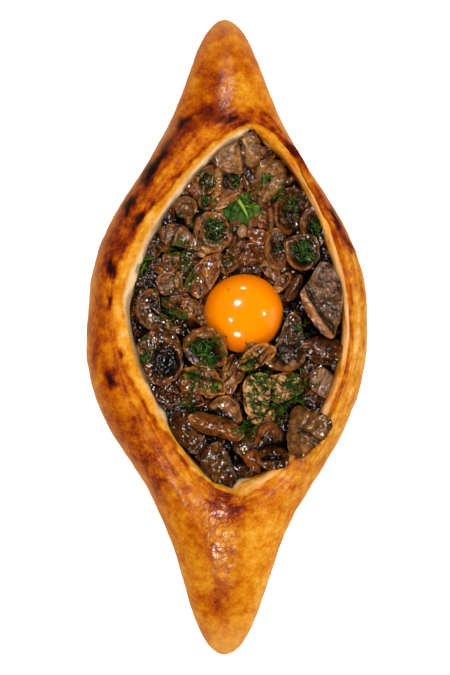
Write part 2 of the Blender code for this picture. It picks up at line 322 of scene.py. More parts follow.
def onion_finish():
    """Stewed onion: pale, half clear and wet."""
    made = Finish("onion", Transmission_Weight=0.2, IOR=1.45, Coat_Roughness=0.06, Coat_IOR=1.6)
    streak = made.grain(1.4, 2, stretch=(1, 0.4, 1))
    shade = (made.attribute("tone") + streak * 0.6 + made.grain(5, 1) * 1.2).clamped()
    colour = made.blend(shade, srgb(96, 54, 26), srgb(190, 142, 100))
    swell = made.grain(3.6, 0) + made.grain(1.8, 0) * 0.3
    return made.finish(colour, 0.1 + streak * 0.06, 0.9 + streak * 0.2, swell * 1.3 + streak * 0.1, depth=0.8)


# Herbs from deep green to bright stem.
HERB_STOPS = (
    (0.0, srgb(4, 16, 4)),
    (0.35, srgb(24, 48, 9)),
    (0.68, srgb(62, 100, 18)),
    (1.0, srgb(156, 180, 52)),
)


def herb_finish():
    """Fresh dill and parsley: deep green, lighter along the stems."""
    made = Finish("herb", Specular_IOR_Level=0.12, Coat_Roughness=0.15)
    cloud = made.grain(1.2, 2)
    colour = made.ramp((made.attribute("fresh") + cloud * 0.3).clamped(), HERB_STOPS)
    return made.finish(colour, 0.35 + cloud * 0.2, 0.12 + cloud * 0.3, cloud, depth=0.2)


def yolk_finish():
    """Raw yolk under its thin skin: clear yellow-orange on top, and deep orange at the edge and the lower
    side as painted shade.
    """
    made = Finish(
        "yolk",
        Subsurface_Weight=0.35,
        Subsurface_Scale=0.004,
        Subsurface_Radius=(1.0, 0.42, 0.05),
        Specular_IOR_Level=0.15,
        Coat_Roughness=0.03,
        Coat_IOR=1.36,
    )
    edge, fleck = made.attribute("edge"), made.attribute("fleck")
    cloud = made.grain(9, 2)
    colour = made.blend((edge + cloud * 0.25).clamped(), srgb(255, 148, 0), srgb(232, 112, 0))
    colour = made.blend(fleck, colour, srgb(120, 52, 8))
    return made.finish(colour, 0.16 + cloud * 0.04, 0.9 + cloud * 0.1, cloud, depth=0.05)


def floor_finish():
    """A pale matte floor with the faintest grain."""
    made = Finish("pale_floor", Specular_IOR_Level=0.0, Emission_Strength=0.5)
    cloud = made.grain(60, 2)
    colour = made.blend((cloud * 0.5 + 0.5).clamped(), srgb(248, 248, 247), srgb(252, 252, 252))
    made.put(made.surface.inputs["Emission Color"], colour)
    return made.finish(colour, 0.9 + cloud * 0.05)


# --- Meshes ------------------------------------------------------------------------------------------------


class Pile:
    """Points, faces and a value of each kind at each point, gathered into one mesh."""

    def __init__(self):
        self.points, self.faces, self.values = [], [], {}
        self.count = 0

    def add(self, points, faces, **values):
        """values hold a number, or one for each point, to be kept as attributes."""
        points = np.asarray(points, float)
        self.points.append(points)
        self.faces += [tuple(corner + self.count for corner in face) for face in faces]
        for name, value in values.items():
            spread = np.array(np.broadcast_to(np.asarray(value, float), len(points)))
            self.values.setdefault(name, []).append(spread)
        self.count += len(points)

    def merge(self, other):
        """Adds another pile to this one."""
        values = {name: np.concatenate(value) for name, value in other.values.items()}
        self.add(np.concatenate(other.points), other.faces, **values)

    def surface(self):
        """The pile's faces, to drop things on."""
        corners = [Vector(point) for point in np.concatenate(self.points)]
        return BVHTree.FromPolygons(corners, self.faces)

    def make(self, name, material, slot, *nodes):
        """Makes the object, which rides on the root body and stands for the nodes."""
        mesh = bpy.data.meshes.new(name)
        mesh.from_pydata((np.concatenate(self.points) * MM).tolist(), [], self.faces)
        for kind, value in self.values.items():
            layer = mesh.attributes.new(kind, "FLOAT", "POINT")
            layer.data.foreach_set("value", np.concatenate(value).astype(np.float32))
        mesh.materials.append(material)
        mesh.shade_smooth()
        made = bpy.data.objects.new(name, mesh)
        bpy.context.scene.collection.objects.link(made)
        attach(made, "root")
        if nodes:
            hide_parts(*nodes)


def ring_faces(rings, around, first_row=0):
    """Quads between rings of points, each ring holding this many points, anticlockwise seen from outside."""
    faces = []
    for ring in range(rings - 1):
        low, high = first_row + ring * around, first_row + (ring + 1) * around
        for i in range(around):
            j = (i + 1) % around
            faces.append((low + i, low + j, high + j, high + i))
    return faces


def closed_faces(rings, around):
    """Faces of a closed form: point 0, then the rings, then a last point."""
    last = rings * around + 1
    faces = ring_faces(rings, around, first_row=1)
    for i in range(around):
        j = (i + 1) % around
        faces.append((0, 1 + j, 1 + i))
        faces.append((last, last - around + i, last - around + j))
    return faces


def inside_out(faces):
    """The faces turned to look the other way."""
    return [tuple(reversed(face)) for face in faces]


# --- Bread -------------------------------------------------------------------------------------------------

HALF_LENGTH = 160.7
BELLY_HALF_WIDTH = 71.0
NOSE_HALF_WIDTH = 24.5
OPENING_MIDDLE = np.array((4.25, 14.0))
OPENING_HALF_WIDTH, OPENING_HALF_LENGTH = 52.5, 89.0
RIM_HEIGHT, TIP_HEIGHT = 37.5, 22.0
FLOOR_HEIGHT = 11.0
# How brown the wall below the rim's lip is painted, as shade.
WALL_SHADE_BAKE = 0.74
STEPS_AROUND = 620
# Steps between one ring of the section and the next, from under the middle to the floor inside.
STEPS_BETWEEN = (3, 3, 4, 8, 10, 12, 18, 20, 14, 10, 9, 8, 6, 3, 2)
# The rows of the section where the bread is widest and where the rim's lip hangs over the filling.
SIDE_ROW, LIP_ROW = sum(STEPS_BETWEEN[:4]), sum(STEPS_BETWEEN[:11])

# Places that baked darker or paler: x, y, half length, half width, turn of the length in degrees, and how
# much.
TOASTED_PATCHES = (
    (-47, -50, 22, 10, -62, 0.08),
    (-62, 18, 22, 9, 86, -0.04),
    (-42, 70, 20, 8, 60, -0.03),
    (0, 150, 14, 12, 0, 0.05),
    (1, -152, 14, 12, 0, 0.06),
    (-44, 70, 34, 10, 55, 0.16),
    (-26, 100, 22, 8, 48, 0.16),
    (-14, 108, 12, 6, 40, 0.2),
    (2, 109, 11, 5, 0, 0.26),
    (20, 107, 12, 3.5, -38, 0.22),
    (-56, 40, 16, 5, 70, 0.18),
    (-64, 8, 20, 4, 88, 0.14),
    (56, 57, 16, 3, -65, 0.28),
    (40, 88, 26, 4, -55, 0.2),
    (-9, 127, 12, 7, 90, 0.08),
    (12, 136, 9, 5, 110, 0.1),
    (10, 122, 14, 6, 80, -0.12),
    (2, 150, 8, 5, 0, 0.05),
    (2, 126, 24, 14, 90, 0.05),
    (-1, 139, 11, 6, 20, 0.06),
    (-57, -12, 20, 5, 95, 0.08),
    (-40, -58, 26, 7, -55, 0.1),
    (-12, -99, 13, 5, -70, 0.12),
    (-2.5, -132, 13, 8, 80, 0.2),
    (6, -124, 8, 4, 60, 0.1),
    (0, -82, 14, 5, 5, 0.12),
    (16, -79, 12, 4, 30, 0.12),
    (4, -92, 5, 9, 70, 0.1),
    (16, -95, 22, 10, 60, -0.02),
    (56, -40, 24, 7, 60, -0.09),
    (66, -4, 20, 4, 90, -0.12),
    (0, -152, 12, 10, 0, -0.1),
    (-21, -80, 12, 6, -50, -0.04),
)

# Scorched places: x, y, half length, half width, turn of the length in degrees, and how black.
SCORCHED_PATCHES = (
    (-34, 87, 8, 2.0, 52, 0.75),
    (-37, 81, 5, 2.4, 60, 0.7),
    (-47, 66, 4.5, 1.9, 60, 0.85),
    (-42, 57, 6.5, 1.9, 62, 0.8),
    (-20.5, 106.5, 4.5, 1.4, 42, 0.4),
    (3, 108, 3.4, 1.6, 0, 0.55),
    (-57, 34, 4, 1.6, 75, 0.6),
    (-57, 18, 3.4, 1.6, 80, 0.6),
    (-69.5, 5, 4, 1.3, 88, 0.7),
    (-51, -8, 2.2, 1.2, 100, 0.5),
    (-57, -20, 4.2, 2.2, 100, 0.6),
    (-5.8, -82, 6.4, 4.0, 10, 0.12),
    (4, -85, 7.0, 3.2, -55, 0.18),
    (54.5, 60, 6, 1.0, -64, 0.6),
    (63, 45, 4, 0.9, -72, 0.5),
    (32.5, 91.5, 4.5, 0.8, -45, 0.4),
    (69, -3, 2.5, 0.8, 90, 0.4),
    (23, 131, 1.0, 0.9, 0, 0.5),
)

# Places where thick glaze crackled as it dried, and places that shine, laid out in the same way.
CRACKLED_PATCHES = (
    (-2, -98, 26, 8, 92, 1.0),
    (2, 122, 14, 5, 80, 0.6),
    (-30, -62, 26, 6, -52, 0.5),
)
SHINY_PATCHES = (
    (-2, -103, 24, 8, 92, 1.1),
    (1, 122, 14, 4.5, 92, 0.8),
    (62, 0, 60, 9, 90, 0.4),
    (-30, -66, 26, 8, -52, 0.5),
    (40, -66, 26, 10, 52, 0.4),
)


def outline_half_width(y):
    """Half the bread's width at y: a bell-shaped belly on blunt noses."""
    share = np.clip(np.abs(y) / HALF_LENGTH, 0, 1)
    reach, fullness, bluntness = [np.where(y > 0, *pair) for pair in ((88.3, 76.6), (2.8, 2.4), (3.6, 4.1))]
    bell = np.exp(-((np.abs(y) / reach) ** fullness))
    return NOSE_HALF_WIDTH * np.sqrt(1 - share**bluntness) + (BELLY_HALF_WIDTH - NOSE_HALF_WIDTH) * bell


def outline_middle(y):
    """How far to the right the middle of the bread's width lies at y."""
    return 0.7 * (1 - smooth(np.abs(y), 90, 158)) + 0.9 * bump_at(y, 24, 20) + 1.8 * bump_at(y, -70, 17)


def outer_points(angles, inset):
    """Points of the bread's outline, moved in by inset. Angle 0 is at +X and a right angle at the top tip."""
    along = np.sin(angles)
    half_width = outline_half_width(HALF_LENGTH * along)
    across = half_width**2 / np.maximum(half_width + inset, 1e-6) * np.sign(np.cos(angles))
    return np.stack((across + outline_middle(HALF_LENGTH * along), (HALF_LENGTH - inset) * along), 1)


def opening_points(angles, share=1.0):
    """Points of the opening's outline, drawn in to share of its size: a lens that leans right at the top."""
    along, side = np.sin(angles), np.sign(np.cos(angles))
    reach = np.abs(along)
    width = (1 - reach ** np.where(along > 0, 1.62, 2.0)) ** 0.75
    drift = np.where(along > 0, 7.75 * reach**2, 3 * np.sin(np.pi * reach))
    plan = np.stack((drift + side * OPENING_HALF_WIDTH * width, OPENING_HALF_LENGTH * along), 1)
    return OPENING_MIDDLE + plan * share


def opening_offset(angles, distance):
    """Points at distance outside the opening, square to its outline."""
    step = math.radians(1.5)
    tangent = opening_points(angles + step) - opening_points(angles - step)
    tangent /= np.linalg.norm(tangent, axis=1)[:, None]
    outward = np.stack((tangent[:, 1], -tangent[:, 0]), 1)
    return opening_points(angles) + outward * np.broadcast_to(distance, len(angles))[:, None]


def height_share(y):
    """The bread's height at y as a share of its height in the middle: it falls along the noses."""
    return 1 - (1 - TIP_HEIGHT / RIM_HEIGHT) * smooth(np.abs(y), 88, 168)


def raised(plan, height):
    """Plan points lifted to a height, which is given for the middle of the bread."""
    return np.column_stack((plan, height * height_share(plan[:, 1])))


def spread_angles():
    """Angles round the bread, spaced so that the steps along its outline are even."""
    fine = np.linspace(-math.pi, math.pi, 8001)
    steps = np.linalg.norm(np.diff(outer_points(fine, 0), axis=0), axis=1)
    travelled = np.concatenate(([0], np.cumsum(steps)))
    return np.interp(np.linspace(0, travelled[-1], STEPS_AROUND, endpoint=False), travelled, fine)


def seam_window(angles):
    """Where the rim's seam is open: full along the right side, faint elsewhere."""
    degrees = np.degrees(angles)
    return 0.12 + 0.88 * smooth(degrees, -66, -38) * (1 - smooth(degrees, 66, 88))


def strip_width(angles):
    """How far the rim's inside slopes in over the filling: most at the upper left, where its crumb shows."""
    way = np.degrees(angles) % 360
    upper_left = smooth(way, 84, 104) * (1 - smooth(way, 166, 190))
    lower_left = smooth(way, 166, 190) * (1 - smooth(way, 208, 226))
    width = 2.6 * upper_left + 1.6 * bump_at(way, 102, 6) + 1.5 * lower_left
    return width + 3.2 * bump_at(way, 280, 9) + 1.8 * bump_at(way, 216, 3) + 2.0 * bump_at(way, 68, 8)


def rim_width(angles):
    """How wide the rim is, from the bread's outline to the opening."""
    return np.linalg.norm(outer_points(angles, 0) - opening_points(angles), axis=1)


def bread_section(angles):
    """The rings of the bread's section, as control points: from under its middle to the floor inside it."""
    outline, degrees = outer_points(angles, 0), np.degrees(angles)
    rim = rim_width(angles)
    doming = smooth(np.abs(outline[:, 1]), 80, 135)
    upper_right = bump_at(degrees, 60, 13)
    right = 1 - smooth(np.abs(degrees), 60, 95)
    strip = strip_width(angles)
    firm = 1 - smooth(strip, 1.5, 2.3)
    shoulder = outer_points(angles, np.minimum(6.5 + 5 * doming, 0.33 * rim))
    seam = opening_offset(angles, np.minimum(6.3, 0.42 * rim) + 1.2 * upper_right)
    roll = opening_offset(angles, np.minimum(4.0 - 1.0 * right, 0.3 * rim))

    def along_crest(share):
        return shoulder * (1 - share) + seam * share

    foot = [
        raised(outline * (0.3, 0.4), 0),
        raised(outline * (0.68, 0.82), 0),
        raised(outline * (0.84, 0.94), 0),
        raised(outer_points(angles, 2.0), 4.5),
    ]
    side = [
        raised(outline, 15),
        raised(outer_points(angles, 2.0 + 1.2 * doming), 25.5),
        raised(shoulder, 33),
    ]
    crest = [
        raised(along_crest(0.4), 36.8),
        raised(along_crest(0.78), RIM_HEIGHT + 0.4),
        raised(seam, RIM_HEIGHT - 0.9),
        raised(roll, RIM_HEIGHT - 1.2 + 2.4 * right),
    ]
    inside = [
        raised(opening_offset(angles, 0.2 - strip), 31 + 4.0 * firm + 1.8 * right),
        raised(opening_offset(angles, 0.1 - 1.1 * strip), 22),
        raised(opening_points(angles, 0.88), 12.8),
        raised(opening_points(angles, 0.6), FLOOR_HEIGHT),
        raised(opening_points(angles, 0.2), FLOOR_HEIGHT),
    ]
    return foot + side + crest + inside


def domed_noses(rings):
    """The rings with their tops past the opening's tips laid over smooth, rounded noses."""
    x, y, z = np.moveaxis(rings, 2, 0)
    reach = np.clip(np.abs(y) / HALF_LENGTH, 0, 1) ** np.where(y > 0, 3.2, 3.7)
    across = np.clip(np.abs(x - outline_middle(y)) / np.maximum(outline_half_width(y), 1e-6), 0, 1)
    rounded = np.clip(1 - reach - (1 - reach) * across**2.3, 0, 1) ** 0.42
    dome = height_share(y) * (15 + 27 * rounded)
    past = np.where(y > 0, smooth(y, 101, 117), smooth(-y, 74, 92))
    row = np.arange(len(rings))[:, None]
    weight = past * smooth(row, SIDE_ROW, SIDE_ROW + 6) * (row <= LIP_ROW)
    return np.stack((x, y, z + (dome - z) * weight), 2)


def spline_rings(controls):
    """Rings along a smooth curve through the section: a cubic B-spline with its ends held."""
    padded = [2 * controls[0] - controls[1], *controls, 2 * controls[-1] - controls[-2]]
    rings = []
    for span, steps in enumerate(STEPS_BETWEEN):
        a, b, c, d = padded[span : span + 4]
        for step in range(steps):
            t = step / steps
            weights = ((1 - t) ** 3, 3 * t**3 - 6 * t**2 + 4, -3 * t**3 + 3 * t**2 + 3 * t + 1, t**3)
            rings.append(sum(weight * ring for weight, ring in zip(weights, (a, b, c, d))) / 6)
    rings.append(controls[-1])
    return np.array(rings)


def grid_normals(rings):
    """Outward normals of rings of points."""
    around = np.roll(rings, -1, axis=1) - np.roll(rings, 1, axis=1)
    up = np.gradient(rings, axis=0)
    normals = np.cross(around, up)
    return normals / np.maximum(np.linalg.norm(normals, axis=2), 1e-9)[:, :, None]


def patch_sum(points, patches, sharpness=1.3):
    """The sum of soft oval patches at each point, seen from above."""
    total = np.zeros(len(points))
    for x, y, half_length, half_width, turn, amount in patches:
        along, across = turned(points[:, 0] - x, points[:, 1] - y, math.radians(turn))
        off = (along / half_length) ** 2 + (across / half_width) ** 2
        total += amount * np.exp(-(off**sharpness))
    return total


def distance_to_opening(points):
    """How far outside the opening's outline each point is, seen from above: negative inside."""
    outline = opening_points(np.linspace(-math.pi, math.pi, 1500, endpoint=False))
    tree = kdtree.KDTree(len(outline))
    for index, (x, y) in enumerate(outline):
        tree.insert((x, y, 0), index)
    tree.balance()
    nearest = [tree.find((x, y, 0)) for x, y in points[:, :2]]
    away = np.array([found[2] for found in nearest])
    spot = np.array([found[0][:2] for found in nearest])
    reach, edge = [np.linalg.norm(plan - OPENING_MIDDLE, axis=1) for plan in (points[:, :2], spot)]
    return np.where(reach < edge, -away, away)


class Crust:
    """The bread's surface: its points, and where each of them lies on the rim and the noses."""

    def __init__(self, angles):
        rings = domed_noses(spline_rings(bread_section(angles)))
        self.rows, self.around = rings.shape[:2]
        self.normals = grid_normals(rings).reshape(-1, 3)
        self.points = rings.reshape(-1, 3)
        self.flat = self.points * (1, 1, 0)
        self.x, self.y, self.z = self.points.T
        self.turn = np.degrees(np.tile(angles, self.rows))
        self.strip = np.tile(strip_width(angles), self.rows)
        self.rim_width = np.tile(rim_width(angles), self.rows)
        self.away = distance_to_opening(self.points)
        self.high = self.z / (RIM_HEIGHT * height_share(self.y))
        self.outside = (np.arange(self.rows * self.around) // self.around) < LIP_ROW
        self.top = smooth(self.high, 0.62, 0.9) * self.outside
        self.left = smooth(np.abs(self.turn), 62, 100)
        self.lower = 1 - smooth(self.y, -30, 0)
        self.seam = self.open_seam()
        self.streaks = self.long_streaks()
        self.puckers = bump_at(np.hypot(self.x - 1, (self.y + 84) * 0.8), 0, 13) * self.top
        self.crackle = np.clip(patch_sum(self.points, CRACKLED_PATCHES) + self.puckers, 0, 1)
        self.draw_skin()

    def draw_skin(self):
        """The dark glazed skin, which ends in a ragged edge short of the opening, widest on the left."""
        ragged = 1.5 * lumps(self.flat, 9, 3, 2) + 0.8 * lumps(self.flat, 3.2, 4)
        self.band = self.left * (1 - smooth(self.y, 52, 76)) * smooth(self.y, -46, -12)
        self.skin_edge = 3.2 + 1.4 * (1 - self.left) + 4.2 * self.band + ragged
        starts, ends = self.skin_edge - 1.0 - 1.4 * self.band, self.skin_edge + 0.6 + 1.0 * self.band
        self.skinned = smooth(self.away, starts, ends)

    def open_seam(self):
        """The seam in the rim, with the outer roll standing over it."""
        line = 5.2 + 1.5 * bump_at(self.turn, 60, 13) + 0.7 * lumps(self.flat, 12, 5)
        seam = seam_window(np.radians(self.turn)) * bump_at(self.away, line, 0.65)
        return seam * self.top * smooth(self.rim_width, 6, 13)

    def long_streaks(self):
        """Streaks that run along the rim near its lip, where the dough was stretched."""
        round_rim = np.radians(self.turn)
        places = np.column_stack((73 * np.cos(round_rim), 73 * np.sin(round_rim), 6 * self.away))
        return lumps(places, 10, 21, 2) * (smooth(-self.away, -19, -9) * self.top)

    def raise_relief(self):
        """Moves the points out or in by low lumps, the skin's edge, the seam, folds and crackle."""
        fan = np.arctan2(self.y + 76, self.x - 2) * 30
        folds = np.sin(fan + 2.5 * lumps(self.points, 6, 6)) * self.puckers
        borders = creases(self.points * (1, 1.15, 0.6), 5.2, 1)
        calm = 1 - 0.5 * smooth(np.abs(self.y), 90, 110)
        relief = 0.75 * lumps(self.points, 34, 7) + 0.4 * lumps(self.points, 12, 8, 2) * calm
        relief += 0.16 * lumps(self.points, 4, 9, 2)
        relief += 0.6 * (self.skinned - 1) * bump_at(self.away, 4.0, 4.5) * self.left * self.top
        relief -= 1.8 * self.seam
        relief += 0.22 * folds - 0.22 * borders * self.crackle * self.top + 0.3 * self.streaks
        resting = smooth(self.z, 0.5, 6)
        self.points = self.points + self.normals * (relief * resting)[:, None]
        self.points[:, 2] = np.maximum(self.points[:, 2], 0)

    def baking(self, shaken, char):
        """How brown the dough is: by its patches, its bare pale edge, the seam and the scorching, and browner
        to the left, partly its real bake and partly painted shade.
        """
        # Browner to the left: partly the real bake, partly painted shade from the light on the right.
        bake = 0.42 - 0.04 * self.x / np.maximum(outline_half_width(self.y), 1)
        bake += 0.05 * lumps(self.points, 26, 10, 2)
        bake += 0.01 * smooth(self.y, 100, 125) - 0.05 * smooth(-self.y, 84, 104)
        bake += patch_sum(shaken, TOASTED_PATCHES) + 0.15 * self.streaks
        bare = 0.24 + 0.05 * lumps(self.points, 8, 11) + 0.1 * (1 - self.left)
        bake = bake * self.skinned + bare * (1 - self.skinned)
        near_lip = smooth(-self.away, -5.0, -1.0)
        bake += 0.21 * self.seam + 0.05 * near_lip * self.left * self.top * (1 - self.lower)
        bake += 0.14 * bump_at(self.away, self.skin_edge + 0.8, 1.4) * self.left * (1 - 0.5 * self.band)
        bake += 0.85 * char * (1 + 0.4 * lumps(self.points, 3, 13))
        return bake

    def crumb(self):
        """Shares of the pale crumb inside the rim, and of the wall below its lip, which is painted dark brown
        as shade.
        """
        open_side = self.left * smooth(self.y, 0, 24) * (1 - 0.85 * smooth(self.y, 26, 44))
        starts = 2.4 - 3.9 * self.left - 1.5 * open_side
        ends = 4.0 - 3.5 * self.left - 1.2 * open_side
        inner = smooth(-self.away + 0.5 * lumps(self.flat, 3.5, 16), starts, ends)
        pale = smooth(self.strip, 1.6, 2.3)
        inner *= 1 - 0.5 * self.lower * self.left * (1 - pale)
        cream = np.where(self.outside, inner, np.maximum(inner, pale))
        cream = np.clip(cream + 0.3 * lumps(self.points, 5, 12) * cream * (1 - cream), 0, 1)
        # Pale cream along the right's inner roll: its ridges are real, and its floor is partly painted light
        # on the roll's shaded slope.
        ridged = (1 - self.skinned) * (1 - self.left) * self.top
        ridged *= smooth(self.away, 0.4, 1.6) * (1 - smooth(np.abs(self.y), 70, 100))
        cream = np.maximum(cream, np.clip(0.26 + 0.7 * self.streaks, 0, 0.6) * ridged)
        # Painted shade: the wall below the lip is browned where no strip of crumb shows, so that it reads as
        # shadow.
        wall_shade = smooth(-self.away - self.strip, -0.9, 0.4) * (1 - pale)
        return cream * (1 - wall_shade), wall_shade

    def flanks(self, char):
        """Shares of the dusty, paler sides and of the noses' rounded borders."""
        sides = np.maximum(self.left, smooth(np.abs(self.y), 80, 110))
        flank = (1 - smooth(self.high, 0.35, 0.8 + 0.08 * sides)) * (self.outside | (self.z < 2))
        flank = np.maximum(flank, 0.3 * smooth(-self.y, 136, 154) * self.outside)
        border = outline_half_width(self.y) - np.abs(self.x - outline_middle(self.y))
        border += 0.8 * lumps(self.flat, 9, 17, 2)
        flank = np.maximum(flank, 0.8 * (1 - smooth(border, 0.2, 2.8)) * sides * self.outside)
        return flank * (1 - 0.9 * np.clip(char, 0, 1))

    def shine(self, bake, cream, flank, char):
        """How much the egg wash shines: in its patches, and not on crumb, flanks or scorched places."""
        gloss = (1 - flank) * (1 - cream) * np.clip(0.04 + patch_sum(self.points, SHINY_PATCHES), 0, 1)
        gloss *= 0.4 + 0.6 * self.skinned
        return gloss * (1 - 0.7 * np.clip(char, 0, 1)) * (1 - 0.8 * smooth(bake, 0.56, 0.74))

    def values(self):
        """What the crust's finish needs at each point."""
        shift = np.column_stack((lumps(self.points, 6, 14, 2), lumps(self.points, 6, 15, 2), 0 * self.x))
        shaken = self.points + shift * 1.9
        char = patch_sum(shaken, SCORCHED_PATCHES, 0.9) * (0.3 + 0.7 * self.skinned)
        char *= smooth(self.high, 0.1, 0.4)
        cream, wall_shade = self.crumb()
        bake = self.baking(shaken, char)
        bake += (WALL_SHADE_BAKE - bake) * wall_shade
        flank = self.flanks(char)
        return {
            "bake": bake,
            "cream": cream,
            "flank": flank,
            "crackle": self.crackle * self.top * (1 - cream) * smooth(self.away, 2, 5),
            "gloss": self.shine(bake, cream, flank, char),
        }


def make_bread(material):
    """The bread in one closed mesh, from under its middle round the rim to the floor of the opening."""
    crust = Crust(spread_angles())
    crust.raise_relief()
    under, floor = (0.0, 0.0, 0.0), (*OPENING_MIDDLE, FLOOR_HEIGHT)
    points = np.concatenate(([under], crust.points, [floor]))
    values = {}
    for name, value in crust.values().items():
        values[name] = np.concatenate(([value[0]], value, [value[-1]]))
    pile = Pile()
    pile.add(points, closed_faces(crust.rows, crust.around), **values)
    pile.make("glazed_bread", material, "crust", "bread")


# --- Mushroom slices ---------------------------------------------------------------------------------------

FACE_SHARES = 1 - (1 - np.linspace(0.06, 1, 17)) ** 1.3
EDGE_RADIUS = 0.35


def packed_surface(node):
    """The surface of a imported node, in mm."""
    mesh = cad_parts[node].data
    corners = [vertex.co / MM for vertex in mesh.vertices]
    return BVHTree.FromPolygons(corners, [face.vertices for face in mesh.polygons])


def drop_on(surface, x, y, missing=26.0):
    """The height of the surface's top at a spot."""
    hit = surface.ray_cast(Vector((x, y, 200)), Vector((0, 0, -1)))[0]
    return hit.z if hit else missing


def bending_terms(x, y):
    """The terms of a bent sheet: its height, its slopes and its bends."""
    return np.stack((np.ones_like(x), x, y, x * x, x * y, y * y), -1)


class Place:
    """Where a slice lies: its middle, its thickness and the bent sheet of its top."""

    def __init__(self, middle, thickness, bends):
        self.middle, self.thickness, self.bends = np.array(middle, float), thickness, np.array(bends, float)

    @classmethod
    def of_node(cls, node):
        """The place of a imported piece: its sheet is fitted to the flat part of its top."""
        low, high = [np.array(corner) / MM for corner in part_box(node)]
        middle, half = (low + high)[:2] / 2, (high - low)[:2] / 2
        surface = packed_surface(node)
        spots, tops, depths = [], [], []
        for angle in np.arange(12) * math.pi / 6:
            for share in (0.05, 0.25, 0.45):
                x, y = share * half[0] * math.cos(angle), share * half[1] * math.sin(angle)
                spot = Vector((*(middle + (x, y)), 200))
                top = surface.ray_cast(spot, Vector((0, 0, -1)))[0]
                bottom = surface.ray_cast(spot - Vector((0, 0, 400)), Vector((0, 0, 1)))[0]
                if top and bottom:
                    spots.append((x, y))
                    tops.append(top.z)
                    depths.append(top.z - bottom.z)
        x, y = np.array(spots).T
        keep = np.diag((0, 0, 0, 8.0, 8.0, 8.0))
        terms = np.concatenate((bending_terms(x, y), keep))
        bends = np.linalg.lstsq(terms, np.concatenate((tops, np.zeros(6))), rcond=None)[0]
        return cls(middle, float(np.median(depths)), bends)

    def points(self, x, y, height):
        """Points at x and y from the middle, this high over the sheet."""
        top = bending_terms(x, y) @ self.bends
        return np.stack((self.middle[0] + x, self.middle[1] + y, top + height), -1)


def traced(corners, around=96):
    """Reach of a closed smooth outline at each angle round its middle, from its corners in mm."""
    corners = np.array(corners, float)
    line = []
    for index in range(len(corners)):
        a, b, c, d = [corners[(index + step) % len(corners)] for step in (-1, 0, 1, 2)]
        for t in np.linspace(0, 1, 16, endpoint=False):
            curve = (2 * b, (c - a) * t, (2 * a - 5 * b + 4 * c - d) * t**2, (3 * b - a - 3 * c + d) * t**3)
            line.append(sum(curve) / 2)
    line = np.array(line)
    angles = np.arctan2(line[:, 1], line[:, 0])
    order = np.argsort(angles)
    return np.interp(round_angles(around), angles[order], np.hypot(*line[order].T), period=2 * math.pi)


def oval(length, width, turn, outline="oval", around=72):
    """Reach of an oval, or of one of its variants, at each angle round its middle."""
    angle = round_angles(around) - math.radians(turn)
    reach = 1 / np.hypot(np.cos(angle) / (length / 2), np.sin(angle) / (width / 2))
    if outline == "block":
        return reach * 0.98 * (np.abs(np.cos(angle)) ** 4 + np.abs(np.sin(angle)) ** 4) ** -0.25
    if outline == "bean":
        return reach * (1 - 0.25 * bump_at(angle % (2 * math.pi), 1.5 * math.pi, 0.6))
    if outline == "wedge":
        return reach * (1 + 0.16 * np.cos(3 * angle))
    return reach * (1 + 0.04 * np.cos(3 * angle + 1))


class Cut:
    """The face of a slice: places on it in mm, and the relief, tone and warmth of its flesh."""

    def __init__(self, x, y, share, reach, seed):
        self.x, self.y, self.share, self.reach, self.seed = x, y, share, reach, seed
        self.way = np.degrees(np.arctan2(y, x))
        self.relief = np.zeros_like(x)
        self.tone = np.full_like(x, 0.5)
        self.warm = np.full_like(x, 0.3)

    def lumps(self, size, octaves=1, seed=0, stretch=1.0, turn=0.0):
        """Lumps on the face, which may be stretched along a direction."""
        along, across = self.turned(turn)
        places = np.stack((along / stretch, across, np.zeros_like(across)), -1)
        return lumps(places, size, self.seed + seed, octaves)

    def turned(self, turn):
        """Places along and across a direction, in mm."""
        return turned(self.x, self.y, math.radians(turn))

    def towards(self, way, spread):
        """1 on the side of the slice that faces way, in degrees, and 0 beyond the spread to each side."""
        off = np.abs((self.way - way + 180) % 360 - 180)
        return 1 - smooth(off, spread * 0.7, spread * 1.15)


def shape_cup(cut, way=225, spread=110, hollow=(0, 0), size=0.62, dark=0.1, light=0.54, warm=0.3):
    """The underside of a cap: a curled rim over part of the way round dark, ribbed gills."""
    x, y = cut.x - hollow[0], cut.y - hollow[1]
    reach = cut.reach * size
    depth = np.hypot(x, y) / reach + 0.16 * cut.lumps(3.2, 2, 11)
    rim = cut.towards(way, spread)
    inside = (1 - smooth(depth, 0.6, 1.14)) * (1 - smooth(cut.share, 0.82, 0.97) * rim)
    ribs = np.cos(np.arctan2(y, x) * 30 + 2 * cut.lumps(3)) * smooth(depth, 0.2, 0.5)
    lumpy = cut.lumps(2.6, 2, 4)
    deep = inside * (0.5 + 0.5 * rim)
    curl = 1.2 * rim * bump_at(cut.share, 0.86, 0.14)
    cut.relief += curl - deep * (2.0 - 0.12 * ribs) + 0.8 * inside * lumpy
    cut.relief -= 0.9 * (1 - rim) * smooth(cut.share, 0.55, 1)
    shade = inside * (0.62 + 0.38 * rim)
    cut.tone = light + 0.1 * cut.lumps(4, 2, 5) - (light - dark) * shade
    cut.tone = cut.tone + (0.05 * ribs + 0.12 * lumpy) * inside
    cut.tone -= 0.12 * bump_at(depth, 1.0, 0.12)
    cut.warm = warm + 0.5 * rim * smooth(cut.share, 0.8, 0.97) - 0.4 * inside


